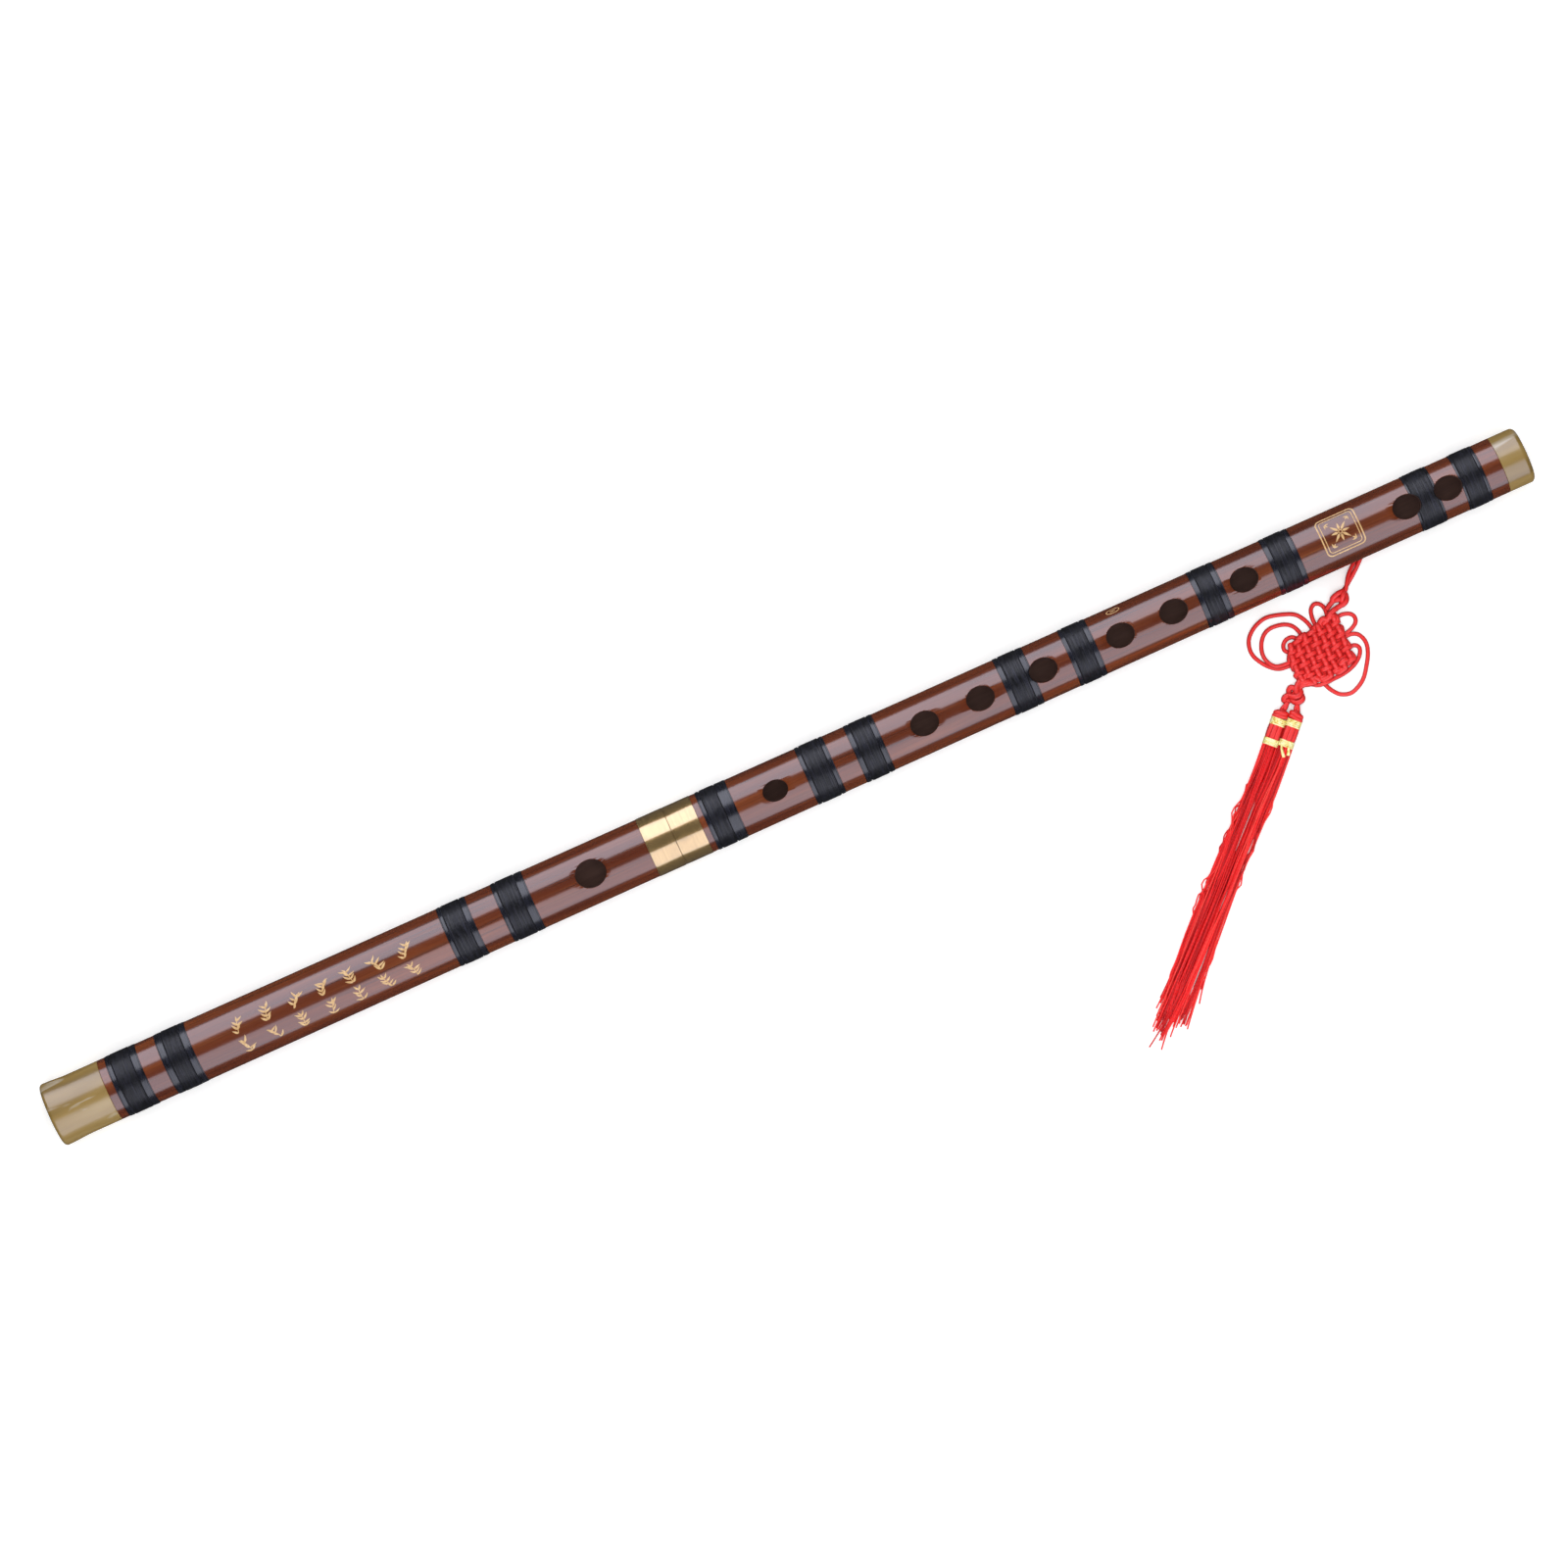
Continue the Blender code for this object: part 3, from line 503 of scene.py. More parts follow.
def make_camera():
    data = bpy.data.cameras.new("camera")
    data.sensor_width = 36.0
    data.lens = data.sensor_width * CAMERA_HEIGHT / VIEW_WIDTH
    camera = bpy.data.objects.new("camera", data)
    camera.location = (*VIEW_CENTRE, FLUTE_TOP + CAMERA_HEIGHT)
    camera.rotation_euler = (0.0, 0.0, VIEW_TURN)
    bpy.context.collection.objects.link(camera)
    bpy.context.scene.camera = camera


def area_light(name, place, target, size, radiance, tint=(1.0, 1.0, 1.0), diffuse=True, glossy=True):
    """A rectangular light that faces a target. radiance is how bright its surface looks."""
    light = bpy.data.lights.new(name, "AREA")
    light.shape, light.size, light.size_y = "RECTANGLE", *size
    light.energy = radiance * math.pi * size[0] * size[1]
    light.color = tint
    lamp = bpy.data.objects.new(name, light)
    lamp.location = place
    lamp.rotation_euler = (Vector(target) - Vector(place)).to_track_quat("-Z", "Y").to_euler()
    lamp.visible_camera, lamp.visible_diffuse, lamp.visible_glossy = False, diffuse, glossy
    bpy.context.collection.objects.link(lamp)


def make_studio():
    """Two long softboxes mirror in the varnish, with a dark gap between them overhead.

    Unmirrored strips just in front of them, and a light overhead, do most of the lighting."""
    reach, target = 1.3, Vector((0.0, 0.0, AXIS))
    sides = (("left", 1, 26.0, 2.2), ("right", -1, 21.0, 1.55))
    for name, side, near, radiance in sides:
        near, far = math.radians(near), math.radians(86.0)
        inner = Vector((0.0, side * math.sin(near), math.cos(near))) * reach
        outer = Vector((0.0, side * math.sin(far), math.cos(far))) * reach
        place, size = target + (inner + outer) / 2, (1.7, (outer - inner).length)
        area_light(f"softbox_{name}", place, target, size, radiance, (0.94, 0.96, 1.12), diffuse=False)
        area_light(f"wash_{name}", place * 0.93, target, size, 1.15, glossy=False)
    area_light("top_fill", (0.0, 0.0, 2.2), (0.0, 0.0, 0.0), (1.8, 1.8), 3.2, glossy=False)

    world = bpy.data.worlds.new("studio")
    world.use_nodes = True
    world.node_tree.nodes["Background"].inputs["Color"].default_value = (0.9, 0.95, 1.0, 1.0)
    world.node_tree.nodes["Background"].inputs["Strength"].default_value = 0.05
    bpy.context.scene.world = world
    bpy.context.scene.view_settings.view_transform = "Standard"

    bpy.ops.mesh.primitive_plane_add(size=8.0, location=(0.0, 0.0, 0.0))
    floor = bpy.context.object
    floor.name = "studio_floor"
    floor.data.materials.append(floor_material())
    floor.visible_glossy = False


# ---------------------------------------------------------------- cords of the pendant

PIVOT = Vector(JOINTS["pendant_swing"]["pos_m"])
HOLE_TURN = math.radians(35.0)  # of the tassel holes, from straight down towards -Y
TASSEL_HOLE_SIZE = 2.75 * MM
HOLE_B = PIVOT.x
HOLE_A = HOLE_B - 18.0 * MM
LOW = CORD / 2  # a cord lying on the surface
# the twist of the two strands below the flute: millimetres, and radians from point to point
TWISTED_HEIGHT, TWISTED_RADIUS = 1.9, 0.95
TWIST_START, TWIST_STEP = 0.4, 0.75


def below(x, radius, sideways=0.0):
    """A point this far from the flute's axis on the tassel holes' line, moved round the tube."""
    turn = HOLE_TURN + sideways / radius
    return Vector((x, -radius * math.sin(turn), AXIS - radius * math.cos(turn)))


# the middle of the endless knot; the pendant's cords are laid out round it
KNOT_AT = sum(span("endless_knot"), Vector()) / 2
KNOT_AT.z = 0.0


def near_knot(route):
    """A route given in mm from the middle of the knot. A point without a height lies on the floor."""
    return [KNOT_AT + Vector((p[0], p[1], p[2] if len(p) > 2 else LOW / MM)) * MM for p in route]


def thread_route(sideways):
    """One strand, from the top knot through both holes to the bight that holds the pendant.

    sideways is -1 or 1: the two strands twist round each other on their way to the flute."""
    s = sideways * MM
    lead = Vector((0.62, -0.78, 0.0))  # across the pair, seen from above
    free = []
    for i, (x, y) in enumerate(((17.4, 18.3), (20.2, 18.8), (22.6, 21.1), (25.0, 23.5), (28.4, 26.4),
                                (32.0, 29.2), (34.6, 31.0))):
        twist = TWIST_START + TWIST_STEP * i
        middle = Vector((x, y, TWISTED_HEIGHT))
        free.append(middle + sideways * TWISTED_RADIUS * (math.cos(twist) * lead + math.sin(twist) * UP))
    return [
        *near_knot(free),
        below(HOLE_B - 0.4 * MM + s * 0.8, 13.2 * MM), below(HOLE_B + s, 11.4 * MM),
        below(HOLE_B + s * 0.9, 9.4 * MM), below(HOLE_B - 1.2 * MM + s * 0.8, 7.9 * MM, s),
        below(HOLE_B - 3.8 * MM, 7.35 * MM, s * 1.1), below(HOLE_B - 9.0 * MM, 7.3 * MM, s * 1.1),
        below(HOLE_A + 3.8 * MM, 7.35 * MM, s * 1.1), below(HOLE_A + 1.2 * MM - s * 0.8, 7.9 * MM, s),
        below(HOLE_A - s * 0.9, 9.4 * MM), below(HOLE_A - s, 11.4 * MM),
        below(HOLE_A + 0.6 * MM - s * 0.6, 12.9 * MM), below(HOLE_A + 3.0 * MM, 13.25 * MM, s * 1.05),
        below(HOLE_A + 8.0 * MM, 13.2 * MM, s * 1.1), below(HOLE_B - 5.0 * MM, 13.3 * MM, s * 1.5),
    ]


def make_hanging_cord(surface):
    """The pendant's cord, doubled: both strands, and the bight that goes round them."""
    first, second = thread_route(-1.0), thread_route(1.0)
    bight = [
        below(HOLE_B - 1.6 * MM, 13.9 * MM, -2.6 * MM), below(HOLE_B + 1.5 * MM, 14.2 * MM, -2.3 * MM),
        below(HOLE_B + 2.9 * MM, 14.3 * MM), below(HOLE_B + 1.5 * MM, 14.2 * MM, 2.3 * MM),
        below(HOLE_B - 1.6 * MM, 13.9 * MM, 2.6 * MM),
    ]
    points = smooth([*first, *bight, *reversed(second)], CORD / 3)
    for point in points:
        point.z = max(point.z, LOW)
    mesh = Mesh()
    mesh.tube(points, CORD / 2, 12)
    cord = mesh.made("hanging_cord_strands", [surface])
    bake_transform(cord)
    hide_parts("threaded_cord", "hanging_cord")
    return cord, points


LOOPS = {
    "wing_loop_left_outer": [
        (1.6, 8.5, 1.4), (1.4, 11), (0, 14.4), (-2.2, 17.2), (-6, 19.1), (-12.5, 20.9), (-17, 20.4),
        (-21, 18.4), (-23.8, 15.5), (-25, 11.8), (-24.7, 8.5), (-23, 5), (-20.6, 2), (-17.4, -0.3),
        (-13.5, -0.9), (-11, -1, 1.4)],
    "wing_loop_left_inner": [
        (-3.4, 7.5, 1.4), (-3.7, 10.5), (-5.2, 13.4), (-8, 15.4), (-12.4, 16.3), (-16, 15.7),
        (-18.8, 13.4), (-20.6, 10), (-21.1, 6.5, 1.8), (-20.1, 3.2, 2.9), (-17.8, 1, 2.9),
        (-13.7, 0.3, 2.2), (-11, 0.4, 1.4)],
    "wing_loop_right_outer": [
        (9.5, -0.2, 1.4), (12.5, 0.5), (15.4, 0.6), (17.9, -0.6), (19.3, -3.2), (19.5, -6.2),
        (18.2, -10), (15.6, -14.2), (12.8, -17.8), (9.4, -20.2), (5.4, -21.4), (1.4, -20.1),
        (-1.2, -17.2), (-2.7, -14), (-3.2, -11, 1.2)],
    "wing_loop_right_inner": [
        (9.5, -4.4, 1.4), (12.6, -4), (14.8, -4.1), (16.2, -5.6), (15.6, -7.9), (13.4, -10.2),
        (10, -12), (5.6, -13, 1.0), (1.2, -13.2, 1.8), (-2.6, -13.4, 2.6), (-5.6, -12.9, 2.1),
        (-8, -11.4, 1.8)],
}
EARS = {
    "ear_loop_top": [
        (3.6, 9.5, 1.6), (3.6, 13), (4.4, 16.3), (6.3, 17.9), (8.2, 17.5), (9.6, 15.6), (9.8, 13, 1.0),
        (9, 10.5, 1.4)],
    "ear_loop_right": [
        (10.5, 8, 1.6), (12.8, 9.2), (15.5, 9.4), (18.2, 8.5), (19.6, 6.7), (19.2, 4.4), (17, 2.8),
        (14, 1.8), (10.5, 1.4, 1.6)],
    "ear_loop_left": [
        (-5.4, 6.5, 1.6), (-5.8, 8.2), (-7.6, 9.5), (-10, 9.3), (-11.8, 7.8), (-12.2, 5.7), (-10.8, 4),
        (-9, 2.6, 1.6)],
}


def make_loops(surface):
    """The wing loops and the ears, each a tube of cord along its route, on the pendant.
    The wing loops are cords in their own right; the ears are too short to be.
    """
    for name, route in {**LOOPS, **EARS}.items():
        route = [(p[0] * 1.018 - 0.35, p[1] * 1.018 + 0.4, *p[2:]) for p in route]
        points = smooth(near_knot(route), CORD / 3)
        mesh = Mesh()
        mesh.tube(points, CORD / 2, 12)
        loop = mesh.made(f"{name}_cord", [surface])
        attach(loop, "pendant")
        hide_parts(name)


# corners of the woven square, in mm from its middle: by the left ear, the top knot, the right wing
# and the lower knot
KNOT_CORNERS = (Vector((-9.8, 6.4)), Vector((11.4, 10.6)), Vector((11.0, -8.6)), Vector((-10.4, -9.4)))
KNOT_COLUMNS, KNOT_ROWS = 7, 8
UPRIGHT_HEIGHT, LEVEL_HEIGHT = 2.5, 1.95
UPRIGHT_WAVE, LEVEL_WAVE = 1.05, 0.75
BACK_HEIGHT = 1.2  # of the plain rows behind the weave


def knot_point(u, v, z):
    """A place on the woven square, u from left to right and v from top to bottom, in mm."""
    left_top, right_top, right_bottom, left_bottom = KNOT_CORNERS
    top, bottom = left_top.lerp(right_top, u), left_bottom.lerp(right_bottom, u)
    place = top.lerp(bottom, v)
    inside_u, inside_v = max(0.0, min(1.0, u)), max(0.0, min(1.0, v))
    x = place.x - 1.6 * math.sin(math.pi * inside_v) * (1 - inside_u) ** 2
    y = place.y - 1.8 * math.sin(math.pi * inside_u) * inside_v**2
    return (x, y, z + 0.25 * math.sin(math.pi * inside_u) * math.sin(math.pi * inside_v))


def weave(upright, source):
    """One set of the weave's cords as a single cord that turns back at each edge."""
    route, steps = [], 5
    lines, crossings = (KNOT_COLUMNS, KNOT_ROWS) if upright else (KNOT_ROWS, KNOT_COLUMNS)
    height, wave = (UPRIGHT_HEIGHT, UPRIGHT_WAVE) if upright else (LEVEL_HEIGHT, LEVEL_WAVE)
    for line in range(lines):
        across = line / (lines - 1) + source.uniform(-0.1, 0.1) / lines
        slow = source.uniform(0, TURN)
        over = source.uniform(1, 3)
        order = range(-int(over), (crossings - 1) * steps + 1 + int(over))
        if line % 2:
            order = reversed(order)
        for step in order:
            place = step / steps
            share = place / (crossings - 1)
            phase = math.pi * (place + line + (0 if upright else 1))
            z = height + wave * math.cos(phase)
            side = across + 0.012 * math.sin(place * 1.3 + slow)
            route.append(knot_point(side, share, z) if upright else knot_point(share, side, z))
    return route


def back_rows():
    """The rows behind the weave, that lie between the ones in front."""
    route = []
    for row in range(KNOT_ROWS - 1):
        ends = (0.04, 0.96) if row % 2 else (0.96, 0.04)
        route += [knot_point(ends[0] + (ends[1] - ends[0]) * i / 6, (row + 0.5) / (KNOT_ROWS - 1),
                             BACK_HEIGHT) for i in range(7)]
    return route


# cords that leave the square: to the top knot, past the corner buds, and to the lower knot
KNOT_LINKS = (
    ((4.9, 8.6, 2.4), (5.3, 10.8, 2.9), (7.2, 11.7, 3.2), (8.8, 10.4, 2.6)),
    ((8.2, 10.2, 2.6), (10.0, 11.9, 3.4), (12.4, 13.0, 3.4), (14.0, 13.3, 2.9)),
    ((12.2, 7.4, 2.2), (12.5, 10.2, 2.8), (11.4, 12.0, 2.6)),
    ((5.8, -7.6, 2.6), (6.6, -9.2, 1.8), (8.6, -9.7, 1.6), (11.0, -9.0, 1.8), (12.0, -7.2, 2.2)),
    ((6.2, -8.4, 3.2), (7.6, -7.7, 3.8), (9.2, -7.9, 3.2)),
    ((-8.4, -6.8, 2.4), (-10.2, -7.6, 2.8), (-12.4, -8.6, 2.6), (-14.2, -9.8, 2.6)),
    ((-7.6, -10.2, 2.0), (-10.0, -10.2, 2.2), (-12.4, -10.2, 2.2), (-14.6, -10.8, 2.4)),
    ((-8.6, -10.6, 2.2), (-7.0, -9.8, 3.4), (-5.4, -9.7, 3.4), (-4.6, -11.2, 2.6)),
)
# the button knots' visible lengths of cord, in mm from the middle of the endless knot
TOP_KNOT = (
    ((20.4, 18.4, 2.2), (18.5, 18.8, 3.6), (16.0, 18.5, 3.9), (14.2, 17.7, 3.2), (13.6, 16.4, 2.0)),
    ((20.0, 17.5, 1.2), (18.2, 16.8, 2.6), (16.2, 16.4, 3.4), (14.3, 16.7, 2.6), (12.0, 15.7, 2.0),
     (10.0, 14.4, 2.0)),
    ((18.6, 19.0, 1.0), (19.9, 17.2, 1.6), (19.4, 15.0, 2.6), (17.8, 13.8, 3.2), (15.6, 13.6, 2.4),
     (13.0, 13.1, 2.0), (10.5, 12.0, 2.2)),
    ((16.9, 14.4, 1.4), (17.6, 16.0, 3.6), (18.8, 17.4, 4.2), (19.6, 18.6, 3.2)),
    ((14.4, 17.0, 1.4), (16.4, 17.6, 1.6), (18.6, 17.8, 1.6)),
)
LOWER_KNOT = (
    ((-10.2, -7.2, 2.2), (-12.6, -8.2, 2.8), (-14.4, -9.6, 3.0), (-15.4, -11.4, 3.4),
     (-15.8, -12.8, 3.2)),
    ((-13.7, -11.2, 1.6), (-14.1, -12.8, 3.4), (-16.0, -13.4, 4.2), (-17.8, -12.6, 3.6),
     (-19.0, -11.6, 2.6), (-20.6, -11.6, 2.2), (-21.6, -12.6, 1.8), (-20.4, -13.6, 1.6),
     (-18.6, -13.6, 1.5)),
    ((-14.0, -13.6, 1.6), (-14.4, -15.4, 3.2), (-16.4, -15.9, 3.6), (-18.0, -15.0, 2.8),
     (-18.4, -13.6, 2.2)),
    ((-18.4, -10.8, 1.6), (-17.8, -9.4, 2.2), (-16.6, -9.0, 2.6), (-15.6, -10.2, 2.8),
     (-16.0, -11.8, 2.4)),
    ((-17.4, -11.2, 2.6), (-16.6, -12.8, 2.4), (-15.2, -14.2, 2.6)),
)


def make_cord_knot(name, node, groups, surface):
    """A knot shown as the lengths of cord that cross in it. groups pairs a thickness with routes.

    The cord is drawn thicker than where it hangs free, since the tied loops press it flat."""
    mesh = Mesh()
    for thickness, routes in groups:
        for route in routes:
            mesh.tube(smooth(near_knot(route), 0.5 * MM), thickness / 2, 12)
    knot = mesh.made(name, [surface])
    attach(knot, "pendant")
    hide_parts(node)
    return knot


def make_endless_knot(surface):
    """The woven square: upright cords over and under level ones, and the links at its corners."""
    source = random.Random(11)
    groups = ((2.6 * MM, [weave(True, source)]), (2.4 * MM, [weave(False, source)]),
              (2.0 * MM, [back_rows()]), (2.4 * MM, KNOT_LINKS))
    make_cord_knot("endless_knot_weave", "endless_knot", groups, surface)


# ---------------------------------------------------------------- tassels

def middle_of(node):
    return sum(span(node), Vector()) / 2


def tassel_frame(number):
    """The middles of a tassel's two bands, which way it runs, and which way is sideways.

    The two tassels press a little against each other."""
    upper, lower = middle_of(f"upper_gold_band_{number}"), middle_of(f"lower_gold_band_{number}")
    direction = (lower - upper).normalized()
    sideways = Vector((-direction.y, direction.x, 0.0))
    lean = math.copysign(0.22 * MM, (middle_of(f"lower_gold_band_{3 - number}") - lower).dot(sideways))
    return upper + sideways * lean, lower + sideways * lean, direction, sideways


def squared(angle):
    """How much further a slightly squared ring reaches at this angle than a round one."""
    return 1 / (abs(math.cos(angle)) ** 3 + abs(math.sin(angle)) ** 3) ** (1 / 3)


def ring_round(centre, sideways, radius, tilt=None):
    """Points of a closed, slightly squared ring about a tassel."""
    points = []
    for k in range(49):
        angle = TURN * k / 48
        place = math.cos(angle) * sideways + math.sin(angle) * UP
        point = centre + radius * squared(angle) * place
        points.append(point + tilt * math.cos(angle) if tilt else point)
    return points


FOLDS = 7
BAND_RADIUS, BAND_THREAD, BAND_PITCH = 3.0 * MM, 0.41 * MM, 0.72 * MM
# rings of the coiled cap, in mm: place along from the upper band, radius and thickness
CAP_RINGS = ((-2.5, 2.3, 1.1), (-3.9, 2.1, 1.15), (-4.6, 0.9, 1.1))


def make_tassel_head(number, surface, gold):
    """Soft folds between two gold bands, a coiled cap above them, and the cord it hangs on."""
    upper, lower, direction, sideways = tassel_frame(number)
    body = f"tassel_{number}"
    reach = (lower - upper).length
    mesh = Mesh()
    for fold in range(FOLDS):
        angle = TURN * fold / FOLDS + 0.35 * number
        start = (math.cos(angle) * sideways + math.sin(angle) * UP) * squared(angle)
        angle += 0.3
        end = (math.cos(angle) * sideways + math.sin(angle) * UP) * squared(angle)
        route = [upper - direction * 1.2 * MM + start * 1.6 * MM,
                 upper + direction * reach * 0.5 + (start + end) / 2 * 2.05 * MM,
                 lower + direction * 1.6 * MM + end * 1.65 * MM]
        mesh.tube(smooth(route, 0.8 * MM), 1.35 * MM, 14)
    mesh.tube([upper - direction * 2.6 * MM, lower + direction * 1.6 * MM], 2.1 * MM, 24)
    tilt = direction * (0.4 * MM * (1 if number == 1 else -1))
    for place, size, thickness in CAP_RINGS:
        mesh.tube(ring_round(upper + direction * place * MM, sideways, size * MM, tilt=tilt),
                  thickness * MM, 12)
    towards = (middle_of("lower_button_knot") - upper).normalized()
    crown = upper - direction * 4.2 * MM
    for turn in (-1, 1):
        mesh.tube(smooth([
            crown - sideways * turn * 1.6 * MM - UP * 0.8 * MM, crown + UP * 1.3 * MM,
            crown + sideways * turn * 0.6 * MM + towards * 1.6 * MM, crown + towards * 4.8 * MM],
            0.5 * MM), 0.9 * MM, 12)
    head = mesh.made(f"tassel_head_{number}_wrapped", [surface])
    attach(head, body)
    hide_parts(f"tassel_head_{number}")

    for label, middle, width in (("upper", upper, 3.2 * MM), ("lower", lower, 2.9 * MM)):
        band = Mesh()
        threads = round(width / BAND_PITCH)
        for thread in range(threads):
            place = (thread + 0.5) / threads * width - width / 2
            band.tube(ring_round(middle + direction * place, sideways, BAND_RADIUS), BAND_THREAD, 8)
        if label == "lower" and number == 1:
            add_tied_ends(band, middle)
        made = band.made(f"{label}_gold_band_{number}_threads", [gold])
        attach(made, body)
        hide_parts(f"{label}_gold_band_{number}")


def add_tied_ends(mesh, middle):
    """The two short ends of the gold thread, tied off on top of the lower band."""
    for route in (((-2.2, 0.2, 3.3), (-2.8, -1.2, 3.5), (-3.1, -2.8, 3.1), (-3.3, -4.5, 2.3)),
                  ((0.6, -0.4, 3.6), (0.1, -1.8, 3.6), (-0.6, -3.2, 3.2), (-1.3, -4.6, 2.3))):
        points = smooth([middle + Vector(p) * MM for p in route], 0.3 * MM)
        mesh.tube(points, lambda share: (0.42 + 0.3 * share) * MM, 10, flat=0.6)


STRAND = 0.62 * MM
# the middle of the pair's strand ends, in mm from the middle of the knot
SKIRT_END = near_knot([(-120.0, -114.6, 0.0)])[0]
STRANDS_EACH = 105
CLUMPS = 9
STATIONS, FRAYED = 44, 7  # points along a strand, and how many of them are at its loose end


def outer_bulges(source, side):
    """Where an outermost strand stands away from the rest: place, breadth and how far."""
    if source.random() >= 0.7:
        return []
    return [(source.uniform(0.12, 0.9), source.uniform(0.016, 0.035),
             source.uniform(0.6, 2.1) * MM * side) for _ in range(source.randint(1, 3))]


def make_skirt(number, surface):
    """A tassel's strands: threads in loose clumps that leave the band side by side and lie down."""
    source = random.Random(100 + number)
    _, lower, direction, sideways = tassel_frame(number)
    other = middle_of(f"lower_gold_band_{3 - number}")
    side = 1.0 if (lower - other).dot(sideways) > 0 else -1.0
    pair = (lower + other) / 2
    far = SKIRT_END - pair
    far.z = 0.0
    heading = far.normalized()
    across = Vector((-heading.y, heading.x, 0.0))
    total = far.length
    clumps = [(source.uniform(0, TURN), source.uniform(-1.3, 1.3), source.uniform(0.93, 1.05))
              for _ in range(CLUMPS)]
    mesh, shades = Mesh(), []
    for _ in range(STRANDS_EACH):
        turn = source.uniform(0, TURN)
        spot = math.sqrt(source.uniform(0.0, 1.0))
        width, height = spot * math.cos(turn), spot * math.sin(turn)
        start = lower + direction * 0.6 * MM + MM * (3.1 * width * sideways + 2.5 * height * UP)
        clump = int((width * 0.5 + 0.5) * 0.999 * CLUMPS)
        slow, lean, length = clumps[clump]
        reach = total * length * (source.uniform(0.95, 1.03) if source.random() > 0.35
                                  else source.uniform(0.84, 1.07))
        phase, wave = source.uniform(0, TURN), source.uniform(0.1, 0.4) * MM
        bulges = outer_bulges(source, side) if width * side > 0.6 else []
        points = []
        for i in range(STATIONS):
            share = i / (STATIONS - 1)
            ease = min(1.0, share * 4.0)
            ease = ease * ease * (3 - 2 * ease)
            half = 3.2 + 0.35 * share
            offset = side * (half - 0.5) * MM + width * half * MM + lean * share * MM
            offset += wave * math.sin(phase + share * 11.0) + 0.45 * MM * math.sin(slow + share * 6.0)
            for place, breadth, bulge in bulges:
                offset += bulge * math.exp(-((share - place) / breadth) ** 2)
            depth = 2.7 - 1.3 * share
            lift = (depth + height * depth + 0.2 * math.sin(slow + share * 7.0)) * MM
            level = pair + heading * reach * share + across * offset
            level.z = STRAND / 2 + max(0.0, lift)
            first = start + direction * reach * share
            points.append(first.lerp(level, ease))
        fray = source.uniform(-1.0, 1.0)
        for i in range(STATIONS - FRAYED, STATIONS):
            late = (i - STATIONS + FRAYED + 1) / FRAYED
            points[i] += across * (fray * 1.8 * late**2 + lean * 0.9 * late) * MM
            points[i].z = max(STRAND / 2, points[i].z * (1 - 0.4 * late**2))
        before = len(mesh.verts)
        mesh.tube(smooth(points, 2.2 * MM), STRAND / 2, 6)
        shade = 0.45 + 0.35 * math.sin(slow * 3.0) + source.uniform(-0.45, 0.45)
        shades += [shade] * (len(mesh.verts) - before)
    skirt = mesh.made(f"tassel_strands_{number}", [surface], tidy_normals=False)
    shade = skirt.data.attributes.new("shade", "FLOAT", "POINT")
    shade.data.foreach_set("value", np.array(shades, np.float32))
    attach(skirt, f"tassel_{number}")
    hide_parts(f"strand_skirt_{number}")


# ---------------------------------------------------------------- the flute's tubes

ROUND = 128  # corners round a turned part
RING_STEP = 6 * MM  # between rings of corners along the bamboo
GROOVE_CLEAR, GROOVE_BEVEL = 0.06 * MM, 0.08 * MM
HEAD_BINDINGS = [f"thread_binding_{n:02d}" for n in range(1, 5)]
BODY_BINDINGS = [f"thread_binding_{n:02d}" for n in range(5, 14)]


def grooves(bindings):
    """The outline's dips that the bindings are wound in, with a small bevel at both edges."""
    points = []
    for name in bindings:
        low, high = span(name)
        left, right = low.x - GROOVE_CLEAR, high.x + GROOVE_CLEAR
        points += [(left - GROOVE_BEVEL, tube_radius(left)), (left, tube_radius(left) - GROOVE_CLEAR),
                   (left, tube_radius(left) - SINK), (right, tube_radius(right) - SINK),
                   (right, tube_radius(right) - GROOVE_CLEAR), (right + GROOVE_BEVEL, tube_radius(right))]
    return points


def with_rings(outline, step):
    """The outline with extra points along its long level stretches."""
    points = []
    for (x, r), (next_x, next_r) in zip(outline, [*outline[1:], outline[0]]):
        points.append((x, r))
        extra = int(abs(next_x - x) / step)
        for i in range(1, extra + 1):
            share = i / (extra + 1)
            points.append((x + (next_x - x) * share, r + (next_r - r) * share))
    return points


# a hole's rim, in mm: the height above the tube's surface and how much wider the hole is there
HOLE_RIM = ((-0.28, 0.0), (-0.12, 0.04), (-0.03, 0.10), (0.03, 0.2), (0.1, 0.3), (9.0, 0.3))


def hole_cutter(names):
    """Oval plugs that follow the tube's surface, so that the rim of each hole is rounded."""
    mesh = Mesh()
    sides = 64
    levels = ((None, 0.0), *HOLE_RIM)  # the first one is in the middle of the bore
    for name in names:
        centre, (along, across) = middle_x(name), HOLES[name]
        verts, faces = [], []
        for level, grow in levels:
            for k in range(sides):
                angle = TURN * k / sides
                x = centre + (along / 2 + grow * MM) * math.cos(angle)
                y = (across / 2 + grow * MM) * math.sin(angle)
                top = math.sqrt(tube_radius(x) ** 2 - y * y)
                verts.append((x, y, AXIS + (0.0 if level is None else top + level * MM)))
        count = len(levels)
        for i in range(count - 1):
            for k in range(sides):
                n = (k + 1) % sides
                faces.append((i * sides + k, i * sides + n, (i + 1) * sides + n, (i + 1) * sides + k))
        faces += [tuple(reversed(range(sides))), tuple((count - 1) * sides + k for k in range(sides))]
        mesh.add(verts, faces)
    cutter = mesh.made("hole_cutter", [])
    cutter.hide_render = True
    return cutter


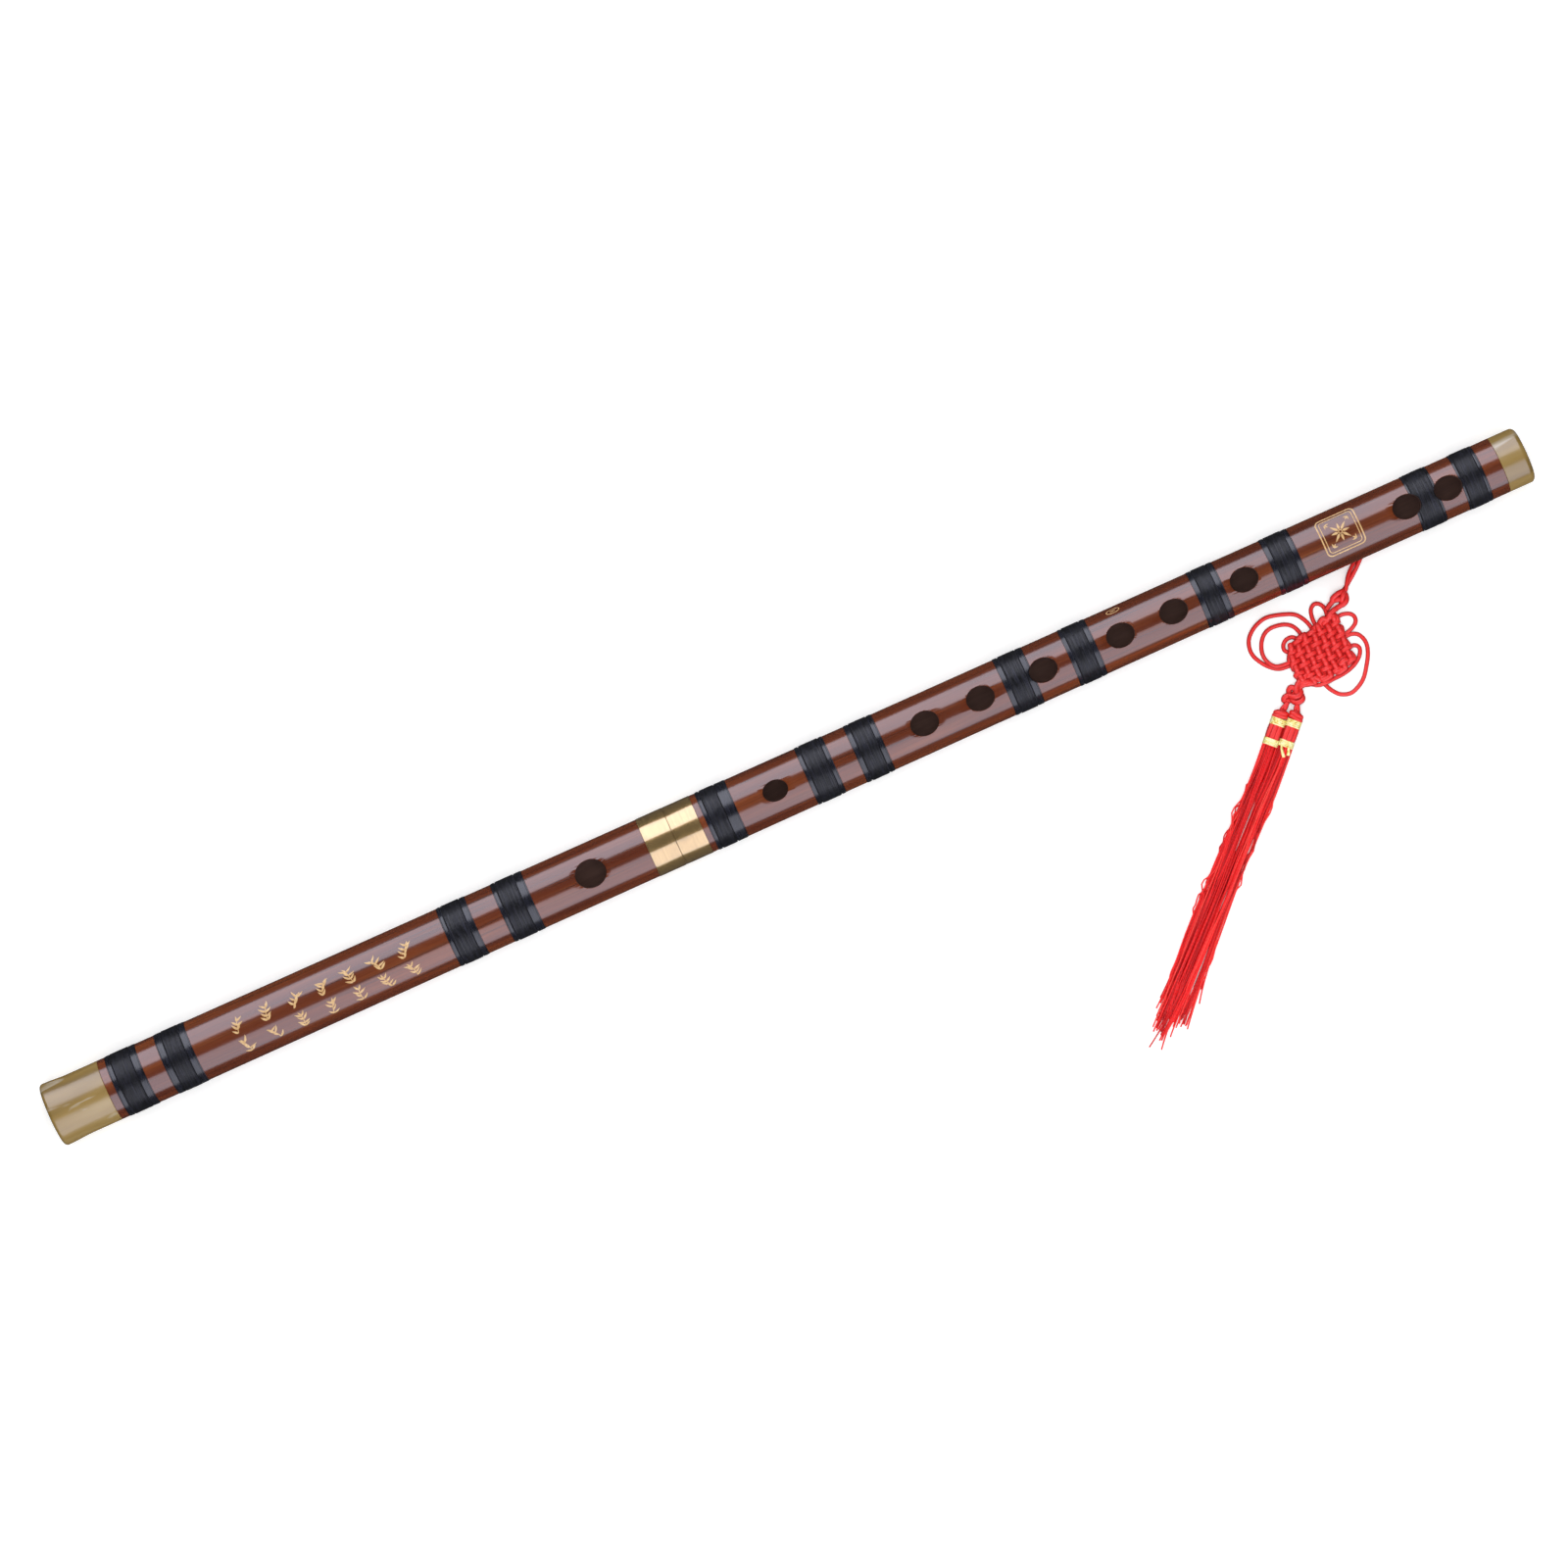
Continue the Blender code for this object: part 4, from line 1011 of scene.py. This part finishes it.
def tassel_hole_cutter():
    """Round plugs for the two tassel holes, a little wider where they come out."""
    mesh = Mesh()
    for x in (HOLE_A, HOLE_B):
        inner, rim = below(x, 4.0 * MM), tube_radius(x)
        out = (below(x, rim) - inner).normalized()
        sizes = ((0.0, 0.0), (rim - 4.35 * MM, 0.0), (rim - 4.0 * MM, 0.3 * MM), (rim, 0.3 * MM))
        points = [inner + out * reach for reach, _ in sizes]
        sizes_at = [TASSEL_HOLE_SIZE + grow for _, grow in sizes]
        mesh.tube(points, lambda share: sizes_at[round(share * 3)], 40)
    cutter = mesh.made("tassel_hole_cutter", [])
    cutter.hide_render = True
    return cutter


def finish_tube(obj, node, body):
    """Lacquer the bore and hole walls, leaving bamboo outside, and shade the surface smoothly."""
    mesh = obj.data
    for face in mesh.polygons:
        x, y, z = face.center
        inside = math.hypot(y, z - AXIS) < tube_radius(x) - 0.13 * MM
        face.material_index = 1 if inside else 0
    mesh.shade_smooth()
    mesh.set_sharp_from_angle(angle=math.radians(32))
    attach(obj, body)
    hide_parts(node)


def make_head_tube(bamboo, lacquer):
    """The head section's bamboo, from inside the head cap to inside the ferrule."""
    low, high = span("head_tube")
    cap, ferrule = span("head_end_cap")[1].x, span("head_ferrule")[0].x
    seat, joint_seat = tube_radius(cap) - CAP_SEAT, tube_radius(ferrule) - FERRULE_SEAT
    tenon_left = span("joint_tenon")[0].x - GAP
    outline = [
        (low.x, seat), (cap + 0.05 * MM, seat), (cap + 0.05 * MM, tube_radius(cap) - 0.1 * MM),
        (cap + 0.15 * MM, tube_radius(cap)), *grooves(HEAD_BINDINGS),
        (ferrule - 0.05 * MM, tube_radius(ferrule)), (ferrule - 0.05 * MM, joint_seat),
        (high.x, joint_seat), (high.x, TENON_HOLE), (tenon_left, TENON_HOLE), (tenon_left, BORE),
        (low.x, BORE),
    ]
    mesh = Mesh()
    mesh.turned(with_rings(outline, RING_STEP), ROUND)
    tube = mesh.made("bamboo_head_tube", [bamboo, lacquer])
    cutter = hole_cutter(["blow_hole"])
    cut(tube, cutter)
    bpy.data.objects.remove(cutter)
    finish_tube(tube, "head_tube", "head_section")


def make_body_tube(bamboo, lacquer, cutter):
    """The body section's bamboo, with every hole of it cut."""
    low, high = span("body_tube")
    cap, ferrule = span("foot_end_cap")[0].x, span("body_ferrule")[1].x
    seat, joint_seat = tube_radius(cap) - CAP_SEAT, tube_radius(ferrule) - FERRULE_SEAT
    socket_right = span("joint_socket")[1].x + GAP
    outline = [
        (low.x, joint_seat), (ferrule + 0.05 * MM, joint_seat), (ferrule + 0.05 * MM, tube_radius(ferrule)),
        *grooves(BODY_BINDINGS),
        (cap - 0.15 * MM, tube_radius(cap)), (cap - 0.05 * MM, tube_radius(cap) - 0.1 * MM),
        (cap - 0.05 * MM, seat), (high.x, seat), (high.x, BORE), (socket_right, BORE),
        (socket_right, SOCKET_HOLE), (low.x, SOCKET_HOLE),
    ]
    mesh = Mesh()
    mesh.turned(with_rings(outline, RING_STEP), ROUND)
    tube = mesh.made("bamboo_body_tube", [bamboo, lacquer])
    cut(tube, cutter)
    side_cutter = tassel_hole_cutter()
    cut(tube, side_cutter)
    bpy.data.objects.remove(side_cutter)
    finish_tube(tube, "body_tube", "body_section")


# ---------------------------------------------------------------- thread bindings

# width of the lacquered rings at each binding's head and foot side, in mm
RING_WIDTHS = (
    (2.0, 3.0), (3.0, 3.0), (1.8, 2.7), (1.8, 3.2), (1.5, 4.7), (1.8, 1.9), (2.0, 2.0),
    (2.2, 2.5), (1.5, 2.0), (2.0, 2.4), (1.9, 2.2), (0.9, 0.9), (0.9, 1.2),
)
THREAD_PITCH = 0.42 * MM


def binding_outline(left, right, head_ring, foot_ring, source):
    """Rows of wound thread: fine rows in the middle, flatter lacquered rows at both ends."""
    width = right - left
    threads = round(width / THREAD_PITCH)
    pitch = width / threads
    outline, slots = [], []
    groove_at = (round(head_ring / pitch), threads - 1 - round(foot_ring / pitch))
    for thread in range(threads):
        middle = left + (thread + 0.5) * pitch
        ringed = thread < groove_at[0] or thread > groove_at[1]
        height = (0.20 if ringed else 0.28) * MM + source.uniform(-0.02, 0.02) * MM
        ridge = (0.03 if ringed else 0.07) * MM
        if thread in (0, threads - 1):
            height -= 0.10 * MM
        if thread in groove_at:
            height, ridge = -0.15 * MM, 0.02 * MM
        base = tube_radius(middle) + height
        for place, drop in ((-0.5, 1.0), (-0.25, 0.2), (0.0, 0.0), (0.25, 0.2)):
            outline.append((middle + place * pitch, base - drop * ridge))
            slots.append(2 if thread in groove_at else 1 if ringed else 0)
    outline.append((right, base - ridge))
    outline.append((right, tube_radius(right) - SINK + 0.05 * MM))
    outline.append((left, tube_radius(left) - SINK + 0.05 * MM))
    slots += [0, 0, 0]
    return outline, slots


def make_binding(number, name, body, surfaces, cutter):
    """One binding, wound a little unevenly. The cutter opens it where it crosses a hole."""
    source = random.Random(500 + number)
    low, high = span(name)
    head_ring, foot_ring = (w * MM for w in RING_WIDTHS[number - 1])
    outline, slots = binding_outline(low.x, high.x, head_ring, foot_ring, source)
    seed = number * 3.7
    rows = [source.uniform(0, TURN) for _ in outline]

    def wobble(i, x, angle):
        if i >= len(outline) - 2:
            return 0.0
        lump = noise.noise(Vector((x * 900, seed + math.sin(angle) * 9, math.cos(angle) * 9)))
        return 0.03 * MM * lump + 0.012 * MM * math.sin(3 * angle + rows[i // 4 * 4])

    mesh = Mesh()
    mesh.turned(outline, 112, wobble=wobble, slots=slots)
    binding = mesh.made(f"{name}_winding", surfaces, sharp=50)
    if cutter:
        cut(binding, cutter)
        binding.data.shade_smooth()
        binding.data.set_sharp_from_angle(angle=math.radians(50))
    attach(binding, body)
    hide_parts(name)


# ---------------------------------------------------------------- caps, joint and cork

def arc(centre_x, centre_r, radius, start, end, steps):
    """Points round a quarter turn or so of an outline, angles from +X towards outward."""
    return [(centre_x + radius * math.cos(start + (end - start) * i / steps),
             centre_r + radius * math.sin(start + (end - start) * i / steps)) for i in range(steps + 1)]


def make_head_cap(horn):
    """The head cap widens smoothly towards its end, like the tip of a horn."""
    low, high = span("head_end_cap")
    inner = tube_radius(high.x) - 1.9 * MM
    wall = low.x + 5.7 * MM
    rim = tube_radius(high.x)
    steps, flare_start = 14, low.x + 13.0 * MM
    flare = []
    for i in range(steps + 1):
        share = i / steps
        x = flare_start + (low.x + 1.5 * MM - flare_start) * share
        flare.append((x, rim + (FLARE_RADIUS - rim) * share * share * (3 - 2 * share)))
    outline = [
        (high.x, inner), (high.x, rim - 0.12 * MM), (high.x - 0.12 * MM, rim), *flare,
        *arc(low.x + 1.5 * MM, FLARE_RADIUS - 1.5 * MM, 1.5 * MM, math.pi / 2, math.pi, 6)[1:],
        (low.x, BORE + 0.5 * MM), (low.x + 0.5 * MM, BORE), (wall, BORE), (wall, inner),
    ]
    mesh = Mesh()
    mesh.turned(outline, ROUND)
    cap = mesh.made("horn_head_cap", [horn])
    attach(cap, "head_section")
    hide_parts("head_end_cap")


def make_foot_cap(horn):
    """The foot cap has a well rounded outer edge."""
    low, high = span("foot_end_cap")
    rim = tube_radius(low.x)
    inner, wall = rim - 1.9 * MM, high.x - 3.7 * MM
    round_off = 2.2 * MM
    outline = [
        (low.x, inner), (low.x, rim - 0.12 * MM), (low.x + 0.12 * MM, rim),
        *arc(high.x - round_off, rim - round_off, round_off, math.pi / 2, 0.0, 8),
        (high.x, BORE + 0.5 * MM), (high.x - 0.5 * MM, BORE), (wall, BORE), (wall, inner),
    ]
    mesh = Mesh()
    mesh.turned(outline, ROUND)
    cap = mesh.made("horn_foot_cap", [horn])
    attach(cap, "body_section")
    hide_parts("foot_end_cap")


def make_ferrule(node, body, open_end, face, hole, brass):
    """A brass ring with eased edges, and a lip at its face that the tenon passes through."""
    inward = math.copysign(1.0, open_end - face)
    rim = tube_radius(open_end) + 0.15 * MM
    seat = tube_radius(open_end) - 1.0 * MM
    ease = 0.18 * MM
    lip = face + inward * 1.2 * MM
    outline = [
        (open_end, seat), (open_end, rim - ease), (open_end - inward * ease * 0.3, rim - ease * 0.3),
        (open_end - inward * ease, rim), (open_end - inward * 0.9 * MM, rim),
        (face + inward * ease, rim), (face + inward * ease * 0.3, rim - ease * 0.3), (face, rim - ease),
        (face, hole), (lip, hole), (lip, seat),
    ]
    mesh = Mesh()
    mesh.turned(outline, ROUND)
    ferrule = mesh.made(f"{node}_brushed", [brass])
    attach(ferrule, body)
    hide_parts(node)


def make_joint(brass, inner_brass):
    """The brass rings that meet, the tenon with its turned groove, and the socket's liner."""
    head_low, _ = span("head_ferrule")
    _, body_high = span("body_ferrule")
    face = JOINT_X
    make_ferrule("head_ferrule", "head_section", head_low.x, face - 0.05 * MM, TENON_HOLE, brass)
    make_ferrule("body_ferrule", "body_section", body_high.x, face + 0.05 * MM, SOCKET_HOLE, brass)
    low, high = span("joint_tenon")
    mesh = Mesh()
    mesh.turned([
        (low.x, BORE), (low.x, TENON), *[(face + i * 4 * MM, TENON) for i in range(-4, 6)],
        (high.x - 2.6 * MM, TENON), (high.x - 2.3 * MM, TENON - 0.15 * MM), (high.x - 2.0 * MM, TENON),
        (high.x - 0.6 * MM, TENON), (high.x - 0.15 * MM, TENON - 0.2 * MM), (high.x, TENON - 0.4 * MM),
        (high.x, BORE),
    ], ROUND)
    tenon = mesh.made("joint_tenon_tube", [inner_brass])
    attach(tenon, "tenon")
    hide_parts("joint_tenon")
    low, high = span("joint_socket")
    mesh = Mesh()
    mesh.turned([
        (low.x, TENON_HOLE + 0.15 * MM), (low.x + 0.15 * MM, SOCKET - 0.1 * MM), (low.x + 0.3 * MM, SOCKET),
        (high.x, SOCKET), (high.x, TENON_HOLE), (low.x + 0.2 * MM, TENON_HOLE),
    ], ROUND)
    socket = mesh.made("joint_socket_liner", [inner_brass])
    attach(socket, "body_section")
    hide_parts("joint_socket")


def make_cork(surface):
    """The cork stopper, with rounded ends."""
    low, high = span("head_cork")
    radius = BORE - 0.1 * MM
    mesh = Mesh()
    mesh.turned([
        (low.x, radius * 0.5), (low.x, radius - 0.8 * MM), (low.x + 0.3 * MM, radius - 0.25 * MM),
        (low.x + 0.8 * MM, radius), (high.x - 0.8 * MM, radius), (high.x - 0.3 * MM, radius - 0.25 * MM),
        (high.x, radius - 0.8 * MM), (high.x, radius * 0.5),
    ], 64, closed=False)
    cork = mesh.made("cork_stopper", [surface])
    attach(cork, "head_section")
    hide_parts("head_cork")


# ---------------------------------------------------------------- gold ornaments

def ribbon(mesh, stroke, widths, lift=0.035 * MM):
    """A thin raised stroke on the bamboo. stroke holds (x, arc) pairs in metres."""
    count = len(stroke)
    verts, faces = [], []
    for i, (x, arc_y) in enumerate(stroke):
        ahead, behind = stroke[min(i + 1, count - 1)], stroke[max(i - 1, 0)]
        dx, dy = ahead[0] - behind[0], ahead[1] - behind[1]
        size = math.hypot(dx, dy) or 1.0
        nx, ny = -dy / size, dx / size
        half = widths[i] / 2
        for side, up in ((-1.0, -0.05 * MM), (-0.6, lift), (0.6, lift), (1.0, -0.05 * MM)):
            verts.append(on_tube(x + nx * half * side, arc_y + ny * half * side, up))
    for i in range(count - 1):
        for k in range(3):
            a = i * 4 + k
            faces.append((a, a + 1, a + 5, a + 4))
        faces.append((i * 4 + 3, i * 4, i * 4 + 4, i * 4 + 7))
    faces += [(0, 3, 2, 1), tuple((count - 1) * 4 + k for k in range(4))]
    mesh.add(verts, faces)


def leaf(mesh, x, arc_y, heading, length, width, bend):
    """A slim leaf: widest a third of the way along, ending in a point."""
    steps = 9
    stroke, widths = [], []
    angle = heading
    px, py = x, arc_y
    for i in range(steps + 1):
        share = i / steps
        stroke.append((px, py))
        widths.append(max(0.06 * MM, width * (math.sin(math.pi * share**0.62)) ** 0.9))
        px += math.cos(angle) * length / steps
        py += math.sin(angle) * length / steps
        angle += bend / steps
    ribbon(mesh, stroke, widths)


def leaf_sprig(mesh, x, arc_y, source):
    """One small sprig of bamboo leaves, about 7 mm across, no two alike."""
    stem = []
    heading = source.uniform(-0.45, 0.45) + math.pi / 2
    px, py = x - math.cos(heading) * 2.8 * MM, arc_y - math.sin(heading) * 2.8 * MM
    bend = source.uniform(-0.8, 0.8)
    for i in range(7):
        stem.append((px, py))
        px += math.cos(heading) * 0.85 * MM
        py += math.sin(heading) * 0.85 * MM
        heading += bend / 6
    ribbon(mesh, stem, [0.5 * MM] * len(stem))
    for node, (sx, sy) in enumerate(stem[0::2]):
        for side in (-1, 1):
            if source.random() < 0.1:
                continue
            angle = math.pi / 2 + side * source.uniform(0.7, 1.4)
            leaf(mesh, sx, sy, angle, source.uniform(2.7, 3.7) * MM, source.uniform(1.0, 1.3) * MM,
                 -side * source.uniform(0.1, 0.7))
    leaf(mesh, stem[-1][0], stem[-1][1], heading + source.uniform(-0.4, 0.4), 2.2 * MM, 1.1 * MM, 0.3)


def make_sprigs(gold):
    """Two rows of seven sprigs between the second and third bindings."""
    left, right = span("thread_binding_02")[1].x, span("thread_binding_03")[0].x
    first, step = left + 20.8 * MM, 12.6 * MM
    assert first + 6 * step < right
    source = random.Random(7)
    mesh = Mesh()
    for row in (2.3 * MM, -7.0 * MM):
        for column in range(7):
            jitter = source.uniform(-0.3, 0.3) * MM
            leaf_sprig(mesh, first + column * step + (0.9 * MM if row < 0 else 0.0), row + jitter, source)
    sprigs = mesh.made("gold_leaf_sprigs", [gold])
    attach(sprigs, "head_section")


def rounded_square(x, arc_y, half, corner, steps=7):
    """A closed stroke round a square with rounded corners, with a point every 0.8 mm or so."""
    points = []
    for quarter in range(4):
        middle = math.pi / 2 * quarter + math.pi / 4
        cx = x + math.copysign(half - corner, math.cos(middle))
        cy = arc_y + math.copysign(half - corner, math.sin(middle))
        for i in range(steps + 1):
            angle = math.pi / 2 * (quarter + i / steps)
            points.append((cx + corner * math.cos(angle), cy + corner * math.sin(angle)))
    points.append(points[0])
    dense = []
    for a, b in zip(points, points[1:]):
        parts = max(1, round(math.dist(a, b) / (0.8 * MM)))
        dense += [(a[0] + (b[0] - a[0]) * i / parts, a[1] + (b[1] - a[1]) * i / parts) for i in range(parts)]
    dense.append(points[-1])
    return dense


def make_medallion(gold):
    """A double-lined square with a blossom and four corner buds, above the foot bindings."""
    left, right = span("thread_binding_11")[1].x, span("thread_binding_12")[0].x
    x, arc_y = left + 0.378 * (right - left), 1.9 * MM
    mesh = Mesh()
    for half, corner, width in ((8.5, 2.2, 0.75), (7.2, 1.4, 0.5)):
        stroke = rounded_square(x, arc_y, half * MM, corner * MM)
        ribbon(mesh, stroke, [width * MM] * len(stroke))
    for petal in range(8):
        angle = TURN * petal / 8
        reach = 1.0 * MM
        leaf(mesh, x + reach * math.cos(angle), arc_y + reach * math.sin(angle), angle,
             (3.9 if petal % 2 else 3.1) * MM, 1.35 * MM, 0.0)
    ring = [(x + 0.75 * MM * math.cos(TURN * i / 20), arc_y + 0.75 * MM * math.sin(TURN * i / 20))
            for i in range(21)]
    ribbon(mesh, ring, [0.5 * MM] * len(ring))
    for cx in (-1, 1):
        for cy in (-1, 1):
            bud_x, bud_y = x + cx * 5.2 * MM, arc_y + cy * 5.2 * MM
            for turn in (-0.7, 0.0, 0.7):
                heading = math.atan2(-cy, -cx) + turn
                leaf(mesh, bud_x, bud_y, heading, 2.0 * MM, 0.85 * MM, turn * 0.6)
    medallion = mesh.made("gold_medallion", [gold])
    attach(medallion, "body_section")


def make_rim_mark(gold):
    """A small open ring with a dot, high on the far side by the fourth finger hole."""
    x, arc_y = middle_x("finger_hole_4") + 1.4 * MM, 12.6 * MM
    mesh = Mesh()
    ring = [(x + 2.9 * MM * math.cos(TURN * i / 28), arc_y + 1.5 * MM * math.sin(TURN * i / 28))
            for i in range(29)]
    ribbon(mesh, ring, [0.5 * MM] * len(ring))
    leaf(mesh, x - 1.3 * MM, arc_y, 0.0, 2.6 * MM, 0.7 * MM, 0.0)
    mark = mesh.made("gold_rim_mark", [gold])
    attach(mark, "body_section")


# ---------------------------------------------------------------- everything in order

make_camera()
# the cord's darker red is painted shade and its lightest red is a painted highlight
red_cord = cord_material("red_cord", linear(150, 7, 12), linear(236, 40, 38), linear(250, 66, 58), 0.0024, 4)
hanging_cord, hanging_points = make_hanging_cord(red_cord)
make_loops(red_cord)
make_studio()

make_endless_knot(red_cord)
top_knot = make_cord_knot("top_button_knot_cord", "top_button_knot", [(2.3 * MM, TOP_KNOT)], red_cord)
make_cord_knot("lower_button_knot_cord", "lower_button_knot", [(2.5 * MM, LOWER_KNOT)], red_cord)

gold_thread = gold_thread_material()
silk = strand_material()
for tassel in (1, 2):
    make_tassel_head(tassel, red_cord, gold_thread)
    make_skirt(tassel, silk)

bamboo_head, bamboo_body = bamboo_material("bamboo_head", 0.0), bamboo_material("bamboo_body", 3.1)
lacquer = lacquer_material()
top_cutter = hole_cutter([name for name in HOLES if name != "blow_hole"])
make_head_tube(bamboo_head, lacquer)
make_body_tube(bamboo_body, lacquer, top_cutter)

# the groove rows are painted darker than the thread beside them: painted shade in the dips between the
# lacquered rings and the matte rows
threads = [thread_material("thread_matte", linear(10, 10, 13), linear(18, 18, 22), 0.3, 0.5, 0.05),
           thread_material("thread_lacquered", linear(9, 9, 15), linear(16, 17, 28), 0.22, 0.34, 0.5),
           thread_material("thread_groove", linear(4, 4, 5), linear(8, 8, 10), 0.6, 0.8, 0.0)]
for number, name in enumerate(HEAD_BINDINGS + BODY_BINDINGS, start=1):
    bitten = name in ("thread_binding_08", "thread_binding_12", "thread_binding_13")
    make_binding(number, name, "head_section" if name in HEAD_BINDINGS else "body_section",
                 threads, top_cutter if bitten else None)
bpy.data.objects.remove(top_cutter)

horn = horn_material()
make_head_cap(horn)
make_foot_cap(horn)
make_joint(brass_material("brushed_brass", 0.35), brass_material("inner_brass", 0.6))
make_cork(cork_material())

gold_paint = gold_paint_material()
make_sprigs(gold_paint)
make_medallion(gold_paint)
make_rim_mark(gold_paint)
